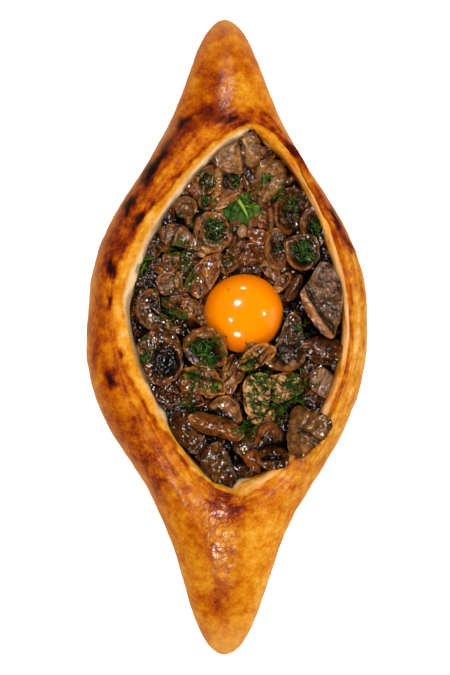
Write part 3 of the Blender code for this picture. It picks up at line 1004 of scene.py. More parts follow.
def shape_cross(cut, way=200, line=0.3, light=0.55, bend=0.01):
    """A cap cut through: skin on one side, firm flesh, a dark line of gills, then crumpled flesh."""
    across, along = cut.turned(way)
    depth = (across + bend * along**2) / np.max(across)
    gills = bump_at(depth, line, 0.09)
    crumple = cut.lumps(2.8, 3, 5)
    soft = 1 - smooth(depth, line - 0.12, line + 0.04)
    streaks = np.cos(along * 3.2 + 2 * cut.lumps(4, 1, 6))
    cut.relief += 0.7 * smooth(depth, line + 0.05, 0.8) - 1.4 * gills + soft * (crumple - 0.2)
    cut.tone = light + 0.12 * bump_at(depth, line + 0.25, 0.16) - 0.38 * gills + soft * 0.14 * crumple
    cut.tone += 0.04 * streaks * gills - 0.06 * soft - 0.12 * smooth(depth, 0.82, 0.98)
    cut.warm = 0.05 + 0.85 * smooth(depth, 0.6, 0.85) - 0.2 * soft


def shape_chunk(cut, folds=(), light=0.46, warm=0.4, dome=1.9):
    """A thick piece of cap, smooth skin up. Each fold is a point, a direction, a length and a depth."""
    cut.relief += 0.5 * dome - dome * cut.share**2.2 + 0.35 * cut.lumps(6, 2, 8)
    cut.tone += light - 0.5 - 0.13 * smooth(cut.share, 0.7, 1.0) + 0.07 * cut.lumps(5, 2, 2)
    for x, y, turn, length, depth in folds:
        along, across = turned(cut.x - x, cut.y - y, math.radians(turn))
        across = across + 0.5 * np.sin(along * 0.5)
        groove = bump_at(across, 0, 0.8) * (1 - smooth(np.abs(along), length * 0.35, length * 0.6))
        cut.relief -= depth * groove - 0.35 * depth * bump_at(np.abs(across), 1.9, 0.9)
        # Painted shade in the fold's groove.
        cut.tone -= 0.12 * depth * groove
    cut.warm = warm + 0.25 * cut.lumps(5, 1, 3)


def shape_flap(cut, light=0.62, warm=0.2, fold=None, rough=1.0):
    """A torn flat piece of flesh, bumpy, with browner edges and perhaps a fold: a point and a direction."""
    bumps = cut.lumps(2.8, 3, 2)
    edge = smooth(cut.share, 0.7, 0.9)
    cut.relief += 0.75 * rough * bumps + 0.6 * cut.lumps(8, 1, 7) + 0.35 * bump_at(cut.share, 0.86, 0.1)
    cut.tone += light - 0.5 + 0.18 * rough * bumps - 0.1 * edge
    cut.warm = warm + 0.35 * edge + 0.2 * cut.lumps(4, 1, 3)
    if fold:
        x, y, turn = fold
        across = turned(cut.x - x, cut.y - y, math.radians(turn))[1] + 0.6 * cut.lumps(5)
        cut.relief += 1.0 * bump_at(across, 1.5, 1.2) - 1.7 * bump_at(across, -0.6, 0.9)
        # Painted shade in the fold's groove.
        cut.tone -= 0.24 * bump_at(across, -0.6, 0.8)


def shape_tube(cut, turn=0, light=0.46, warm=0.4, slit=0.0, dome=2.4):
    """A length of stem: round across, streaked along, with paler cut ends, painted shade towards its sides,
    and perhaps a slit painted dark as shade.
    """
    along, across = cut.turned(turn)
    side = np.abs(across) / np.max(np.abs(across))
    streaks = cut.lumps(1.7, 2, 1, stretch=5.0, turn=turn)
    cut.relief += 0.5 * dome - dome * side**2.2 + 0.22 * streaks
    cut.tone += light - 0.5 + 0.1 * streaks + 0.08 * smooth(np.abs(along) / np.max(np.abs(along)), 0.72, 0.9)
    # Painted shade towards the round sides.
    cut.tone -= 0.1 * side**2
    cut.warm = warm + 0.2 * streaks
    if slit:
        gap = bump_at(across, 0.4, 1.0) * (1 - smooth(np.abs(along) / np.max(np.abs(along)), 0.45, 0.7))
        cut.relief -= slit * 2.4 * gap
        # Painted shade in the slit.
        cut.tone -= 0.45 * gap


def shape_leaf(cut, light=0.5, warm=0.35, cupped=0.6, way=None):
    """A thin slice: almost flat, with a raised, browner rim that may be stronger to one side."""
    rim = bump_at(cut.share, 0.88, 0.11) * (1 if way is None else 0.35 + 0.9 * cut.towards(way, 80))
    cut.relief += 0.5 * rim - cupped * (1 - cut.share**2) + 0.4 * cut.lumps(5, 2, 1)
    cut.tone += light - 0.5 + 0.06 * rim + 0.12 * cut.lumps(4, 2, 4)
    cut.tone -= 0.07 * bump_at(cut.share, 0.74, 0.08)
    cut.warm = warm + 0.3 * rim + 0.2 * cut.lumps(5, 1, 3)


SHAPES = {
    "cup": shape_cup,
    "cross": shape_cross,
    "chunk": shape_chunk,
    "flap": shape_flap,
    "tube": shape_tube,
    "leaf": shape_leaf,
}

# Each large piece, by its node's name: how it was cut, what is its own about that cut, and the corners of
# its outline, in mm from its middle.
PIECES = {
    "stem_upper_left": (
        "tube", dict(turn=130, light=0.52),
        ((3.5, -3), (2.5, 1), (0, 4), (-2, 6), (-4.5, 5), (-5.5, 2.5), (-2, -1.5), (0.5, -5)),
    ),
    "oval_far_upper_left": (
        "leaf", dict(light=0.42, warm=0.6),
        ((2.5, 1), (2, 4), (0, 6), (-2, 3.5), (-4, -1), (-3, -5.5), (0, -7), (2.5, -4)),
    ),
    "edge_upper_left": (
        "leaf", dict(light=0.42, warm=0.6),
        ((5, 0), (4, 4), (1, 6.5), (-1.5, 4.5), (-3.5, 0), (-4, -5), (-1, -7.5), (3, -5)),
    ),
    "oval_far_left": (
        "flap", dict(light=0.42, warm=0.0),
        ((6, 0), (3, 3), (-1, 4), (-4, 3.5), (-6.5, 0), (-6, -5), (-3, -7), (2, -6), (6, -4)),
    ),
    "brown_right": (
        "leaf", dict(light=0.42, warm=0.55, way=300),
        ((9, 0), (5, 3.5), (0, 4), (-5, 4), (-8, 1), (-6, -4.5), (-2, -6.5), (2, -5), (7, -3)),
    ),
    "crescent_left": (
        "leaf", dict(light=0.44, warm=0.35, way=0, cupped=0.2),
        ((2, 0), (2, 6), (0.5, 12), (-1.5, 10), (-3.2, 4), (-3.2, -2), (-2.2, -8), (0, -13.5), (1.6, -8)),
    ),
    "low_right": (
        "leaf", dict(light=0.42, warm=0.5),
        ((5, -2), (4, 2), (0, 4.5), (-4, 2), (-6, -2), (-2, -5.5), (3, -5.5)),
    ),
    "dark_lower_middle": (
        "chunk", dict(light=0.42, warm=0.0),
        ((5.5, 1), (3.5, 4.5), (0, 5), (-3.5, 2.5), (-4.5, -1), (-2.5, -5), (2, -5.5), (4.5, -3.5)),
    ),
    "light_lower_middle": (
        "flap", dict(light=0.74),
        ((5.5, 0), (3, 3.5), (-1, 3.5), (-5.5, 1.5), (-7.5, -2), (-4, -4.5), (0, -5), (4.5, -3.5)),
    ),
    "orange_lower": (
        "chunk", dict(light=0.52, warm=1.0),
        ((3.5, -1), (2.5, 4), (-1, 5), (-4.5, 2), (-3.5, -1.5), (0, -4.5), (3, -5.5)),
    ),
    "oval_lower_left": (
        "leaf", dict(light=0.5, warm=0.3),
        ((4.5, 0), (2, 3.5), (-3, 4), (-7.5, 3), (-8.5, 0), (-6, -2.5), (0, -3), (4.5, -2)),
    ),
    "round_top": (
        "cup", dict(way=180, spread=110, hollow=(2.5, 0.5), size=0.55, dark=0.14, light=0.55),
        ((8, -1), (6.5, 4), (1, 7), (-4.5, 7.8), (-7.5, 3), (-7.5, -2), (-5, -6.5), (0, -8), (5.5, -6.5)),
    ),
    "cap_top_left": (
        "cup", dict(way=135, spread=95, hollow=(1.5, -1.5), size=0.6, dark=0.12, light=0.48, warm=0.5),
        ((5.5, 2), (4.8, 7), (1, 6), (-3.5, 3.5), (-5, 0), (-2.5, -5.5), (1, -7), (5, -5)),
    ),
    "gill_upper_right": (
        "cup", dict(way=190, spread=85, hollow=(1, 0.5), size=0.84, dark=0.24, light=0.5, warm=0.5),
        (
            (6.5, -2), (7.5, 3), (5, 8), (0, 11.5), (-4, 9.5), (-8, 3), (-9, -3), (-6.5, -9.5), (-1, -11.5),
            (3.5, -8),
        ),
    ),
    "gill_far_right": (
        "cup", dict(way=205, spread=90, hollow=(1.2, 0), size=0.72, dark=0.26, light=0.48, warm=0.4),
        (
            (5.5, -1), (4.5, 4), (0.5, 8.5), (-3, 7.5), (-6, 3), (-6, -2), (-3.5, -7), (0, -9.5), (4, -9.5),
            (6, -5),
        ),
    ),
    "flat_upper_middle": (
        "leaf", dict(light=0.44, warm=0.75, way=0),
        (
            (3.5, 3), (3, 8.5), (1, 6.5), (-2, 3.5), (-5, 0.5), (-6, -5), (-3.5, -9.5), (1, -10.5),
            (3.5, -7), (4.5, -2),
        ),
    ),
    "cap_upper_left": (
        "cup", dict(way=80, spread=100, hollow=(0, -2), size=0.6, dark=0.48, light=0.6),
        ((5, -0.5), (3.5, 2), (0, 3.2), (-3, 2), (-4.5, -1), (-4, -5), (-1, -7), (2.5, -6.5), (4.8, -4)),
    ),
    "cap_left": (
        "flap", dict(light=0.6, warm=0.05, rough=0.7),
        (
            (12, -7.5), (13.5, -6), (11, -2), (8, 1.5), (5, 4.5), (0, 5.5), (-4.5, 4.5), (-6.5, 1),
            (-4, -4), (1, -4.5), (8, -6.5),
        ),
    ),
    "disc_middle": (
        "chunk", dict(light=0.4, warm=0.85, folds=((-5, 0, 70, 8, 0.7), (4, 3, 20, 6, 0.5))),
        (
            (9.5, 0), (8.5, 4.5), (4, 6.5), (-1, 5.8), (-5, 6), (-8.5, 3.5), (-9.5, -2), (-6, -6), (-1, -6),
            (4, -6), (8.5, -4),
        ),
    ),
    "slice_middle_right": (
        "cup", dict(way=195, spread=85, hollow=(0.8, 1), size=0.66, dark=0.26, light=0.48, warm=0.35),
        ((5, 0), (4.5, 5), (1, 9), (-2, 8.5), (-5, 3), (-5.5, -3), (-3.5, -8.5), (1, -11), (4.5, -8)),
    ),
    "oval_left": (
        "leaf", dict(light=0.5, warm=0.35, way=300),
        ((6, -3), (3.5, 1.5), (-2, 3.5), (-7, 3), (-9.5, 0), (-6, -3), (-2, -5), (3, -5.5)),
    ),
    "layered_left": (
        "flap", dict(light=0.52, warm=0.75, fold=(-2, -1, 150), rough=0.8),
        (
            (8, -1), (6, 3.5), (1, 7), (-4, 7), (-7.5, 4), (-7.5, -1), (-4.5, -4.5), (-1, -7.5), (3, -10),
            (7, -8.5),
        ),
    ),
    "leaf_middle": (
        "leaf", dict(light=0.6, warm=0.25, way=180, cupped=0.2),
        ((3.5, 4), (1, 9.5), (-2.5, 7.5), (-4.5, 2), (-4.5, -4), (-2.5, -9), (0.3, -9), (2.5, -4), (4, 0)),
    ),
    "square_right": (
        "flap", dict(light=0.74, warm=0.15),
        ((7, -1.5), (4.5, 3.5), (0, 5.5), (-5, 5), (-9.5, 3.5), (-10, -4), (-7, -8.5), (0, -7), (5.5, -4)),
    ),
    "slice_lower_left": (
        "leaf", dict(light=0.42, warm=0.5, way=310, cupped=0.1),
        ((8.5, 0), (8, -4), (3, -5.5), (-1, -4.5), (-5.5, -1), (-8, 4), (-3, 7.5), (4, 6.5)),
    ),
    "tan_lower_middle": (
        "cup", dict(way=40, spread=125, hollow=(-3.4, -2), size=0.4, dark=0.2, light=0.6),
        ((8.5, -5), (7.5, 1.5), (4, 5.5), (0, 7), (-4.5, 5), (-7.5, 1), (-5.5, -2.5), (-1, -5.5), (4, -7.5)),
    ),
    "arch_lower": (
        "cup", dict(way=130, spread=80, hollow=(1, -2), size=0.62, dark=0.2, light=0.48, warm=0.75),
        ((6.5, -2), (4.8, 4.5), (1, 6.5), (-2.5, 4.5), (-5.5, -3), (-8, -8), (-3, -9), (2, -10), (6.5, -8)),
    ),
    "gill_lower_right": (
        "tube", dict(turn=5, light=0.34, warm=0.55, slit=0.9),
        ((8, 1), (5.5, 4.8), (0, 5.8), (-5.5, 3.8), (-6.5, -1), (-3.5, -4.2), (2, -4.8), (7, -3.6)),
    ),
    "stem_right": (
        "tube", dict(turn=172, light=0.4, warm=0.45, dome=3.0),
        (
            (9.5, 1), (7.5, 5.3), (2, 7), (-4, 6.5), (-8.5, 4.3), (-9, -1), (-5, -4.5), (0, -6.5),
            (5, -6.5), (8.7, -3),
        ),
    ),
    "flap_top": (
        "flap", dict(light=0.58, warm=-0.1, fold=(2.3, -3, 98), rough=0.4),
        (
            (10.5, -4), (11, 3), (9.5, 9), (9, 12.5), (6, 10.5), (1, 7.3), (-4, 4), (-9, 1.5),
            (-12, -1), (-11, -5), (-5, -8.5), (1, -10), (4.5, -6.5), (7, -6.5),
        ),
    ),
    "cap_top_right": (
        "chunk", dict(light=0.58, warm=-0.05, dome=2.6, folds=((-2.5, -4, 75, 11, 0.9),)),
        (
            (8, 1), (7.5, 6.5), (4.5, 10), (-1, 11), (-6, 9.5), (-7.5, 5), (-6.5, 0), (-7, -5),
            (-5, -10.5), (0, -8.5), (5.5, -5),
        ),
    ),
    "round_upper_left": (
        "cup", dict(way=210, spread=110, hollow=(2.2, 0.8), size=0.55, dark=0.16, light=0.5, warm=0.35),
        (
            (9.5, 1), (7.5, 6.5), (3, 9.5), (-2, 9.5), (-6.5, 6.5), (-8, 1), (-7.5, -4), (-3, -9),
            (2, -10.5), (6.5, -8.5), (9.5, -4),
        ),
    ),
    "round_right": (
        "cup", dict(way=225, spread=95, hollow=(1, -0.5), size=0.74, dark=0.14, light=0.48, warm=0.35),
        (
            (8.5, -1), (7, 5.5), (2, 7.5), (-3, 7), (-7.5, 4.3), (-8, -1), (-6.5, -6.5), (-1, -9.5),
            (4.5, -8.5), (7.5, -5),
        ),
    ),
    "fan_left": (
        "leaf", dict(light=0.52, warm=0.7, way=135, cupped=0.2),
        (
            (9.5, 4), (10, 10.5), (5, 9.8), (0, 6.8), (-4.5, 1.5), (-7.5, -4), (-5.5, -8.5), (-1, -11),
            (3.5, -7.5), (7.5, -2),
        ),
    ),
    "cut_right": (
        "cross", dict(way=209, line=0.36, light=0.56, bend=0.006),
        (
            (10.5, -1), (10, 6), (7.5, 14), (3.5, 18.5), (-1, 17.5), (-4.5, 11), (-9.5, 4.5), (-8.5, -1),
            (-5.5, -7), (-1.5, -13.5), (4, -18), (7.5, -16), (8, -12), (9.5, -8),
        ),
    ),
    "cut_left": (
        "cup", dict(way=200, spread=150, hollow=(3, 1.5), size=0.3, dark=0.2, light=0.53, warm=0.15),
        (
            (5.5, -3), (10, -5), (15.5, -7), (14, -12.5), (6, -9.5), (0, -10), (-4.5, -6.5), (-6.5, -1),
            (-5.5, 5.5), (-1, 9.5), (3.5, 8.5), (4.5, 3),
        ),
    ),
    "arch_left": (
        "cup", dict(way=60, spread=115, hollow=(-0.5, -2), size=0.66, dark=0.05, light=0.5, warm=0.3),
        (
            (10.5, -3), (8.5, 4.5), (4, 9), (-1, 10.5), (-6.5, 8.5), (-10, 4), (-9.5, -2), (-6.5, -7),
            (0, -9), (6, -8.5), (9.5, -7.5),
        ),
    ),
    "gill_fan_right": (
        "cup", dict(way=255, spread=90, hollow=(1.5, 1), size=0.8, dark=0.26, light=0.52, warm=0.1),
        (
            (8.5, -3), (7.5, 5), (6.5, 12), (3.5, 15.5), (0, 13.5), (-2.5, 6), (-5.5, -1), (-11.5, -8),
            (-6, -12), (0, -14), (5.5, -11.5), (8.5, -8),
        ),
    ),
    "round_left": (
        "cup", dict(way=250, spread=130, hollow=(3.2, -2.2), size=0.56, dark=0.1, light=0.54, warm=0.2),
        (
            (10.5, -2), (10, 4), (7.5, 9.5), (3, 13.5), (-1, 14.5), (-5.5, 11.5), (-9.5, 7.5), (-12.5, 3),
            (-12.5, -2), (-10.5, -8.5), (-6, -12.5), (0, -14), (6, -12.5), (9.5, -8.5),
        ),
    ),
    "tan_under_yolk": (
        "leaf", dict(light=0.6, warm=0.4, cupped=0.1),
        ((8.5, 4), (4, 7), (-1, 6), (-5, 3), (-8, -1), (-9.5, -5), (-4, -6), (2, -3), (6.5, 0)),
    ),
    "square_left": (
        "flap", dict(light=0.66, warm=0.25, fold=(1, 0, 165)),
        (
            (11.5, -5), (8.5, 1.5), (5, 5.5), (0, 6.2), (-5, 6), (-9.5, 3.5), (-10.5, -2), (-8.5, -6.5),
            (-2, -7), (5, -7.5), (10.5, -7.5),
        ),
    ),
    "square_middle": (
        "flap", dict(light=0.74, warm=-0.1),
        ((6, 0), (6, 6.5), (2, 9), (-3, 8.5), (-6.5, 4), (-6.5, -3), (-5, -9.5), (0, -11), (4.5, -8)),
    ),
    "cap_lower_left": (
        "chunk", dict(light=0.46, warm=0.3, folds=((5, -8, 60, 6, 0.7),)),
        (
            (9, -4), (6.5, 2), (3, 8.5), (-2, 10), (-6.5, 7.5), (-7.5, 2), (-4.5, -4), (0, -9.5), (4, -12),
            (8.5, -9.5),
        ),
    ),
    "tube_lower": (
        "tube", dict(turn=163, light=0.46, warm=0.6),
        (
            (12.5, -2), (8, 2), (3, 4), (-3, 5.8), (-8, 7), (-13, 6), (-13.5, 3), (-9, -1.5), (-5, -3.5),
            (0, -4), (5, -6), (9, -6.8), (12.5, -5),
        ),
    ),
    "cap_lowest": (
        "chunk", dict(light=0.42, warm=0.2, folds=((4, -3, 60, 5, 0.6),)),
        (
            (6.5, -1), (4.5, 4), (1.3, 9), (-1.5, 10), (-5.5, 7.5), (-8, 2), (-7.5, -3), (-4, -8.5),
            (0, -10), (5, -10), (8.5, -8), (7.5, -4),
        ),
    ),
    "chunk_lower_right": (
        "chunk",
        dict(
            light=0.62, warm=0.05, dome=2.6,
            folds=((-2, 3, 60, 9, 1.0), (2, -2, -28, 13, 1.2), (-5, -5, 20, 9, 0.7)),
        ),
        (
            (11.5, 2), (10.5, 6.5), (6, 9.5), (2, 10.8), (-3, 12.5), (-6.5, 11.5), (-8.5, 5), (-9.5, -2),
            (-9.5, -7.5), (-6.5, -11.5), (-3, -12.5), (0, -10.5), (4, -6.5), (8.5, -3),
        ),
    ),
    "onion_right": (
        "chunk", dict(light=0.5, dome=1.4, folds=((-2, -2, 70, 12, 1.0), (1.8, -1, 66, 10, 0.8))),
        ((5, 0), (3, 3.5), (-1, 5), (-4.5, 3), (-6.5, -1), (-6, -4), (-2, -7.5), (2.5, -9), (4.5, -5)),
    ),
}

# Smaller pieces between them: x and y from the middle of the opening, length, width, turn of the length, how
# high they lie over the mass below, outline, cut, and what is its own about that cut.
SMALL_PIECES = (
    (9, 66, 8, 13, 170, 6, "oval", "leaf", dict(light=0.38, warm=0.5)),
    (-13.5, 53, 8, 7, 0, 7, "oval", "cup", dict(way=200, dark=0.3, light=0.6)),
    (-8, 53.5, 6, 9, 10, 7, "oval", "leaf", dict(light=0.56)),
    (-3, 53.5, 13, 3.5, 32, 8, "oval", "leaf", dict(light=0.6, way=90)),
    (-22.5, 45, 4.5, 12, 8, 7, "bean", "tube", dict(turn=100, light=0.5, warm=0.95)),
    (-31, 45.5, 6, 8, 20, 5, "oval", "leaf", dict(light=0.36, warm=0.4)),
    (-30, 24, 9, 9, 30, 7.5, "wedge", "leaf", dict(light=0.58, warm=0.4)),
    (-21, 22.5, 11, 15, -25, 7, "block", "leaf", dict(light=0.46, warm=0.3, way=90)),
    (-14.5, 29, 7, 5, 30, 8, "block", "flap", dict(light=0.68)),
    (-31.5, 13, 12, 10, 12, 8, "block", "leaf", dict(light=0.6, warm=0.25, way=90)),
    (-22, 0.5, 5.5, 10, 8, 8, "block", "leaf", dict(light=0.6, warm=0.2)),
    (-17.5, -1, 17, 4.5, -62, 6, "bean", "leaf", dict(light=0.54, warm=0.2)),
    (-13.5, -9, 6, 8, 30, 6.5, "oval", "flap", dict(light=0.6, warm=0.1)),
    (-3, 22, 9, 8, 20, 6, "oval", "leaf", dict(light=0.42, warm=0.7)),
    (-7, 17, 8, 12, -20, 5, "oval", "leaf", dict(light=0.4, warm=0.6)),
    (17.5, 20, 6, 9, 30, 6.5, "oval", "flap", dict(light=0.56, warm=0.1)),
    (24, 13, 12, 5, 52, 6.5, "bean", "leaf", dict(light=0.58, warm=0.3)),
    (30, 10.5, 13, 6, 62, 7, "bean", "tube", dict(turn=62, light=0.46, warm=0.4)),
    # The next two near-black pieces are painted shade in the dark holes beside the yolk.
    (25, 3, 7, 5, 20, 3.5, "oval", "chunk", dict(light=0.28, warm=0.3)),
    (30, -3, 8, 5, 70, 2.5, "oval", "chunk", dict(light=0.22, warm=0.3)),
    (46, 24, 9, 14, 10, 6.5, "oval", "flap", dict(light=0.42, warm=0.3)),
    (42, 35.5, 7, 6, 0, 6, "oval", "leaf", dict(light=0.36, warm=0.4)),
    (34.5, 36, 6.5, 5.5, 100, 8.5, "wedge", "flap", dict(light=0.58, warm=0.1)),
    (35, 54.5, 8, 9, 30, 7, "wedge", "flap", dict(light=0.46, warm=0.25)),
    (27, 53, 7, 6, 30, 6, "oval", "leaf", dict(light=0.4, warm=0.6)),
    (18.3, 44, 3, 15, 4, 8, "oval", "tube", dict(turn=92, light=0.42, dome=1.4)),
    (14, 50, 9, 6, 20, 6, "oval", "leaf", dict(light=0.4, warm=0.6)),
    (37, -29.5, 8, 9, 10, 6.5, "block", "leaf", dict(light=0.44, warm=0.3)),
    (39, -37, 8, 8, 40, 6.5, "oval", "leaf", dict(light=0.5, warm=0.9)),
    (28, -47, 16, 3.4, 30, 6, "oval", "tube", dict(turn=30, light=0.32, warm=0.7, dome=1.4)),
    (25, -55.5, 9, 9, 60, 5, "wedge", "flap", dict(light=0.27, warm=0.5)),
    (24, -65.5, 6, 13, 8, 6, "oval", "chunk", dict(light=0.44, warm=0.2)),
    (25, -71.5, 6, 5.5, 0, 6, "oval", "leaf", dict(light=0.6, warm=0.2)),
    (10.5, -79, 25, 5.5, 2, 4.5, "oval", "tube", dict(turn=2, light=0.3, warm=0.7, dome=1.6)),
    # A near-black lump as painted shade in a dark, wet hole.
    (0.5, -73.5, 5, 6, 20, 4, "oval", "chunk", dict(light=0.08, warm=0.0)),
    (-9.5, -63.5, 10, 5, -25, 5.5, "bean", "leaf", dict(light=0.46, warm=0.4)),
    (-6, -70, 9, 7, 60, 5, "oval", "leaf", dict(light=0.38, warm=0.3)),
    (-32, -51.5, 12, 6, -55, 5, "bean", "leaf", dict(light=0.38, warm=0.5, way=230)),
    (-25.5, -49, 9, 7, 80, 6, "oval", "leaf", dict(light=0.44, warm=0.3)),
    (3.5, -30, 4.5, 13, -12, 7.5, "oval", "leaf", dict(light=0.48, warm=0.35)),
    (-11, -40, 8, 7, 30, 7, "oval", "leaf", dict(light=0.48, warm=0.4)),
    (6, -43, 5, 11, 10, 4.5, "oval", "leaf", dict(light=0.3, warm=0.4)),
    (14, -31, 12, 7, 30, 6, "oval", "leaf", dict(light=0.44, warm=0.4)),
    (45, -12, 9, 7, 60, 4.5, "oval", "leaf", dict(light=0.34, warm=0.4)),
    (-38, -33, 6, 8, 60, 6, "oval", "leaf", dict(light=0.42, warm=0.5)),
    (-47.5, 12, 6, 10, 20, 5.5, "oval", "flap", dict(light=0.42, warm=0.2)),
    (-41, 23, 7, 8, 0, 5.5, "oval", "leaf", dict(light=0.42, warm=0.5)),
    (49.5, 14, 6, 14, 8, 5, "oval", "leaf", dict(light=0.42, warm=0.4)),
    (50.5, -27, 5, 8, -10, 5.5, "oval", "leaf", dict(light=0.4, warm=0.7)),
)


def lap_layers(cut, seed):
    """Lays a thin layer over one side of a slice, with a painted highlight along its curved edge and a
    painted shadow in a line below it.
    """
    size = np.max(cut.reach)
    for layer in range(1 + (size > 10)):
        way = math.radians(137.5 * seed + 160 * layer)
        off = 1.5 + 0.35 * (seed % 3)
        away = np.hypot(cut.x - off * size * math.cos(way), cut.y - off * size * math.sin(way))
        edge = away - (off - 0.3 + 0.25 * layer) * size + 0.8 * cut.lumps(4, 2, 20 + layer)
        cut.relief += 0.8 * (1 - smooth(edge, -0.35, 0.35))
        # Painted highlight on the layer's edge and painted shadow below it.
        cut.tone += 0.12 * bump_at(edge, -0.7, 0.5) - 0.2 * bump_at(edge, 0.5, 0.45)


def kept_off_rim(points):
    """The points with those that would cover the rim's left side drawn in to the filling's edge."""
    plan = points[:, :2] - OPENING_MIDDLE
    angle, reach = np.arctan2(plan[:, 1], plan[:, 0]), np.hypot(*plan.T)
    edge = filling_edge(angle) + 0.5
    left = smooth(np.abs(np.degrees(angle)), 92, 104)
    drawn = np.where(reach > edge, edge + 0.2 * (reach - edge), reach)
    share = (reach + (drawn - reach) * left) / np.maximum(reach, 1e-6)
    return np.column_stack((OPENING_MIDDLE + plan * share[:, None], points[:, 2]))


def slice_profile(thickness, reach, coarse):
    """Shares of the outline and depths below the face, over the edge and under the slice."""
    radius = min(EDGE_RADIUS, thickness / 2)
    start = 1 - radius / reach
    bends = np.radians((30, 60, 80, 90) if coarse else (18, 36, 54, 72, 90))
    over = [(start + (1 - start) * math.sin(bend), radius * (1 - math.cos(bend))) for bend in bends]
    depth = thickness - radius
    under = [(start + (1 - start) * math.cos(bend), depth + radius * math.sin(bend)) for bend in bends[1:4]]
    face = [(share * start, 0.0) for share in FACE_SHARES[:: 2 if coarse else 1]]
    return face + over + under + [(start * 0.7, thickness), (start * 0.3, thickness)]


def slice_pile(place, reach, shape, details, seed, ragged=1.0):
    """One slice as a closed mesh, from the reach of its outline at each angle."""
    around = len(reach)
    angle = round_angles(around)
    circle = np.stack((np.cos(angle), np.sin(angle), np.zeros_like(angle)), -1)
    reach = reach * (1 + ragged * (0.06 * lumps(circle, 0.6, seed) + 0.05 * lumps(circle, 0.22, seed)))
    profile = slice_profile(place.thickness, reach.min(), around < 50)
    shares = np.array([0.0] + [share for share, _ in profile for _ in angle] + [0.0])
    drops = np.array([0.0] + [drop for _, drop in profile for _ in angle] + [place.thickness])
    angles = np.concatenate(([0.0], np.tile(angle, len(profile)), [0.0]))
    reaches = np.concatenate(([reach.mean()], np.tile(reach, len(profile)), [reach.mean()]))
    x, y = shares * reaches * np.cos(angles), shares * reaches * np.sin(angles)
    cut = Cut(x, y, shares, reaches, seed)
    SHAPES[shape](cut, **details)
    on_face = 1 - smooth(drops, 0, place.thickness * 0.8)
    cut.relief += 0.45 * cut.lumps(5.5, 2, 9) + 0.22 * cut.lumps(2.0, 2, 10)
    if shape in ("leaf", "flap", "cross"):
        cut.relief += 0.9 * shares**2 * np.sin(2 * angles + seed)
    if shape in ("leaf", "flap") and "fold" not in details:
        lap_layers(cut, seed)
    # Painted highlight: a light line along parts of the slice's edge.
    cut.tone += 0.15 * bump_at(shares, 0.965, 0.03) * np.clip(2.6 * cut.lumps(5, 1, 12), 0, 1.3) - 0.03
    points = kept_off_rim(place.points(x, y, cut.relief * on_face - drops))
    edge = smooth(drops, 0, EDGE_RADIUS)
    # Painted shade on the slice's sides and underside.
    tone = cut.tone - 0.12 * smooth(drops, 0.4, 2.0)
    warm = np.clip(cut.warm + 0.1 * edge, 0, 1)
    pile = Pile()
    pile.add(points, inside_out(closed_faces(len(profile), around)), tone=tone, warm=warm)
    return pile


def packed_slices():
    """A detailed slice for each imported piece, by the name of its node."""
    slices = {}
    for seed, (name, (shape, details, corners)) in enumerate(PIECES.items()):
        node = "mushroom_" + name
        slices[node] = slice_pile(Place.of_node(node), traced(corners) + 0.5, shape, details, seed)
    return slices


# --- Filling under the large pieces ------------------------------------------------------------------------


def filling_edge(wanted):
    """How far the filling reaches from the opening's middle at an angle."""
    angles = np.linspace(-math.pi, math.pi, 721)
    plan = opening_offset(angles, -0.2 - strip_width(angles)) - OPENING_MIDDLE
    seen = np.arctan2(plan[:, 1], plan[:, 0])
    order = np.argsort(seen)
    return np.interp(wanted, seen[order], np.hypot(*plan[order].T), period=2 * math.pi)


def core_pile():
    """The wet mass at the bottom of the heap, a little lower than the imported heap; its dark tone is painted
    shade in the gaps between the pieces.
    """
    surface = packed_surface("mushroom_heap")
    around, shares = 180, np.linspace(0.03, 1, 52)
    angle = round_angles(around, 0.37)
    ways = np.stack((np.cos(angle), np.sin(angle)), -1)
    edges = filling_edge(angle)
    plan = np.concatenate([OPENING_MIDDLE + ways * (edges * share)[:, None] for share in shares])
    heights = np.array([drop_on(surface, x, y, missing=24.0) for x, y in plan])
    level = 27.5 - 1.5 * smooth(np.abs(np.degrees(angle)), 90, 125)
    heights = np.maximum(heights, np.tile(level, len(shares)) - 3 * (1 - np.repeat(shares, around)))
    flat = np.column_stack((plan, np.zeros(len(plan))))
    relief = 1.0 * lumps(flat, 7, 31, 2) + 0.7 * lumps(flat, 2.6, 32)
    fade = np.repeat(smooth(-shares, -1.0, -0.9), around)
    top = np.column_stack((plan, heights - 1.4 + relief * (0.3 + 0.7 * fade)))
    walls = [
        np.column_stack((OPENING_MIDDLE + ways * (edges * share)[:, None], np.full(around, height)))
        for share, height in ((0.985, 20.0), (0.9, 14.5), (0.6, 12.2))
    ]
    middle_top = (*OPENING_MIDDLE, top[:around, 2].mean())
    points = np.concatenate(([middle_top], top, *walls, [(*OPENING_MIDDLE, 12.0)]))
    pile = Pile()
    faces = inside_out(closed_faces(len(shares) + len(walls), around))
    # Painted shade: the core's low tone darkens the gaps where it shows between the pieces.
    pile.add(points, faces, tone=0.16 + 0.1 * lumps(points, 5, 33), warm=0.9)
    return pile


def laid_place(core, chance, x, y, thickness, rise, tilt):
    """A place for a small piece that lies tilted this high over the core."""
    slopes = [chance.uniform(-tilt, tilt), chance.uniform(-tilt, tilt)]
    return Place((x, y), thickness, (drop_on(core, x, y) + rise, *slopes, -0.01, 0, -0.012))


def small_piece_pile(core_surface):
    """The smaller pieces that show between the large ones."""
    chance = random.Random(8)
    gathered = Pile()
    for seed, (x, y, length, width, turn, rise, outline, shape, details) in enumerate(SMALL_PIECES):
        east, north = OPENING_MIDDLE + (x, y)
        place = laid_place(core_surface, chance, east, north, chance.uniform(2.4, 3.2), rise, 0.12)
        reach = 1.12 * oval(length, width, turn, outline)
        gathered.merge(slice_pile(place, reach, shape, details, 300 + seed))
    return gathered


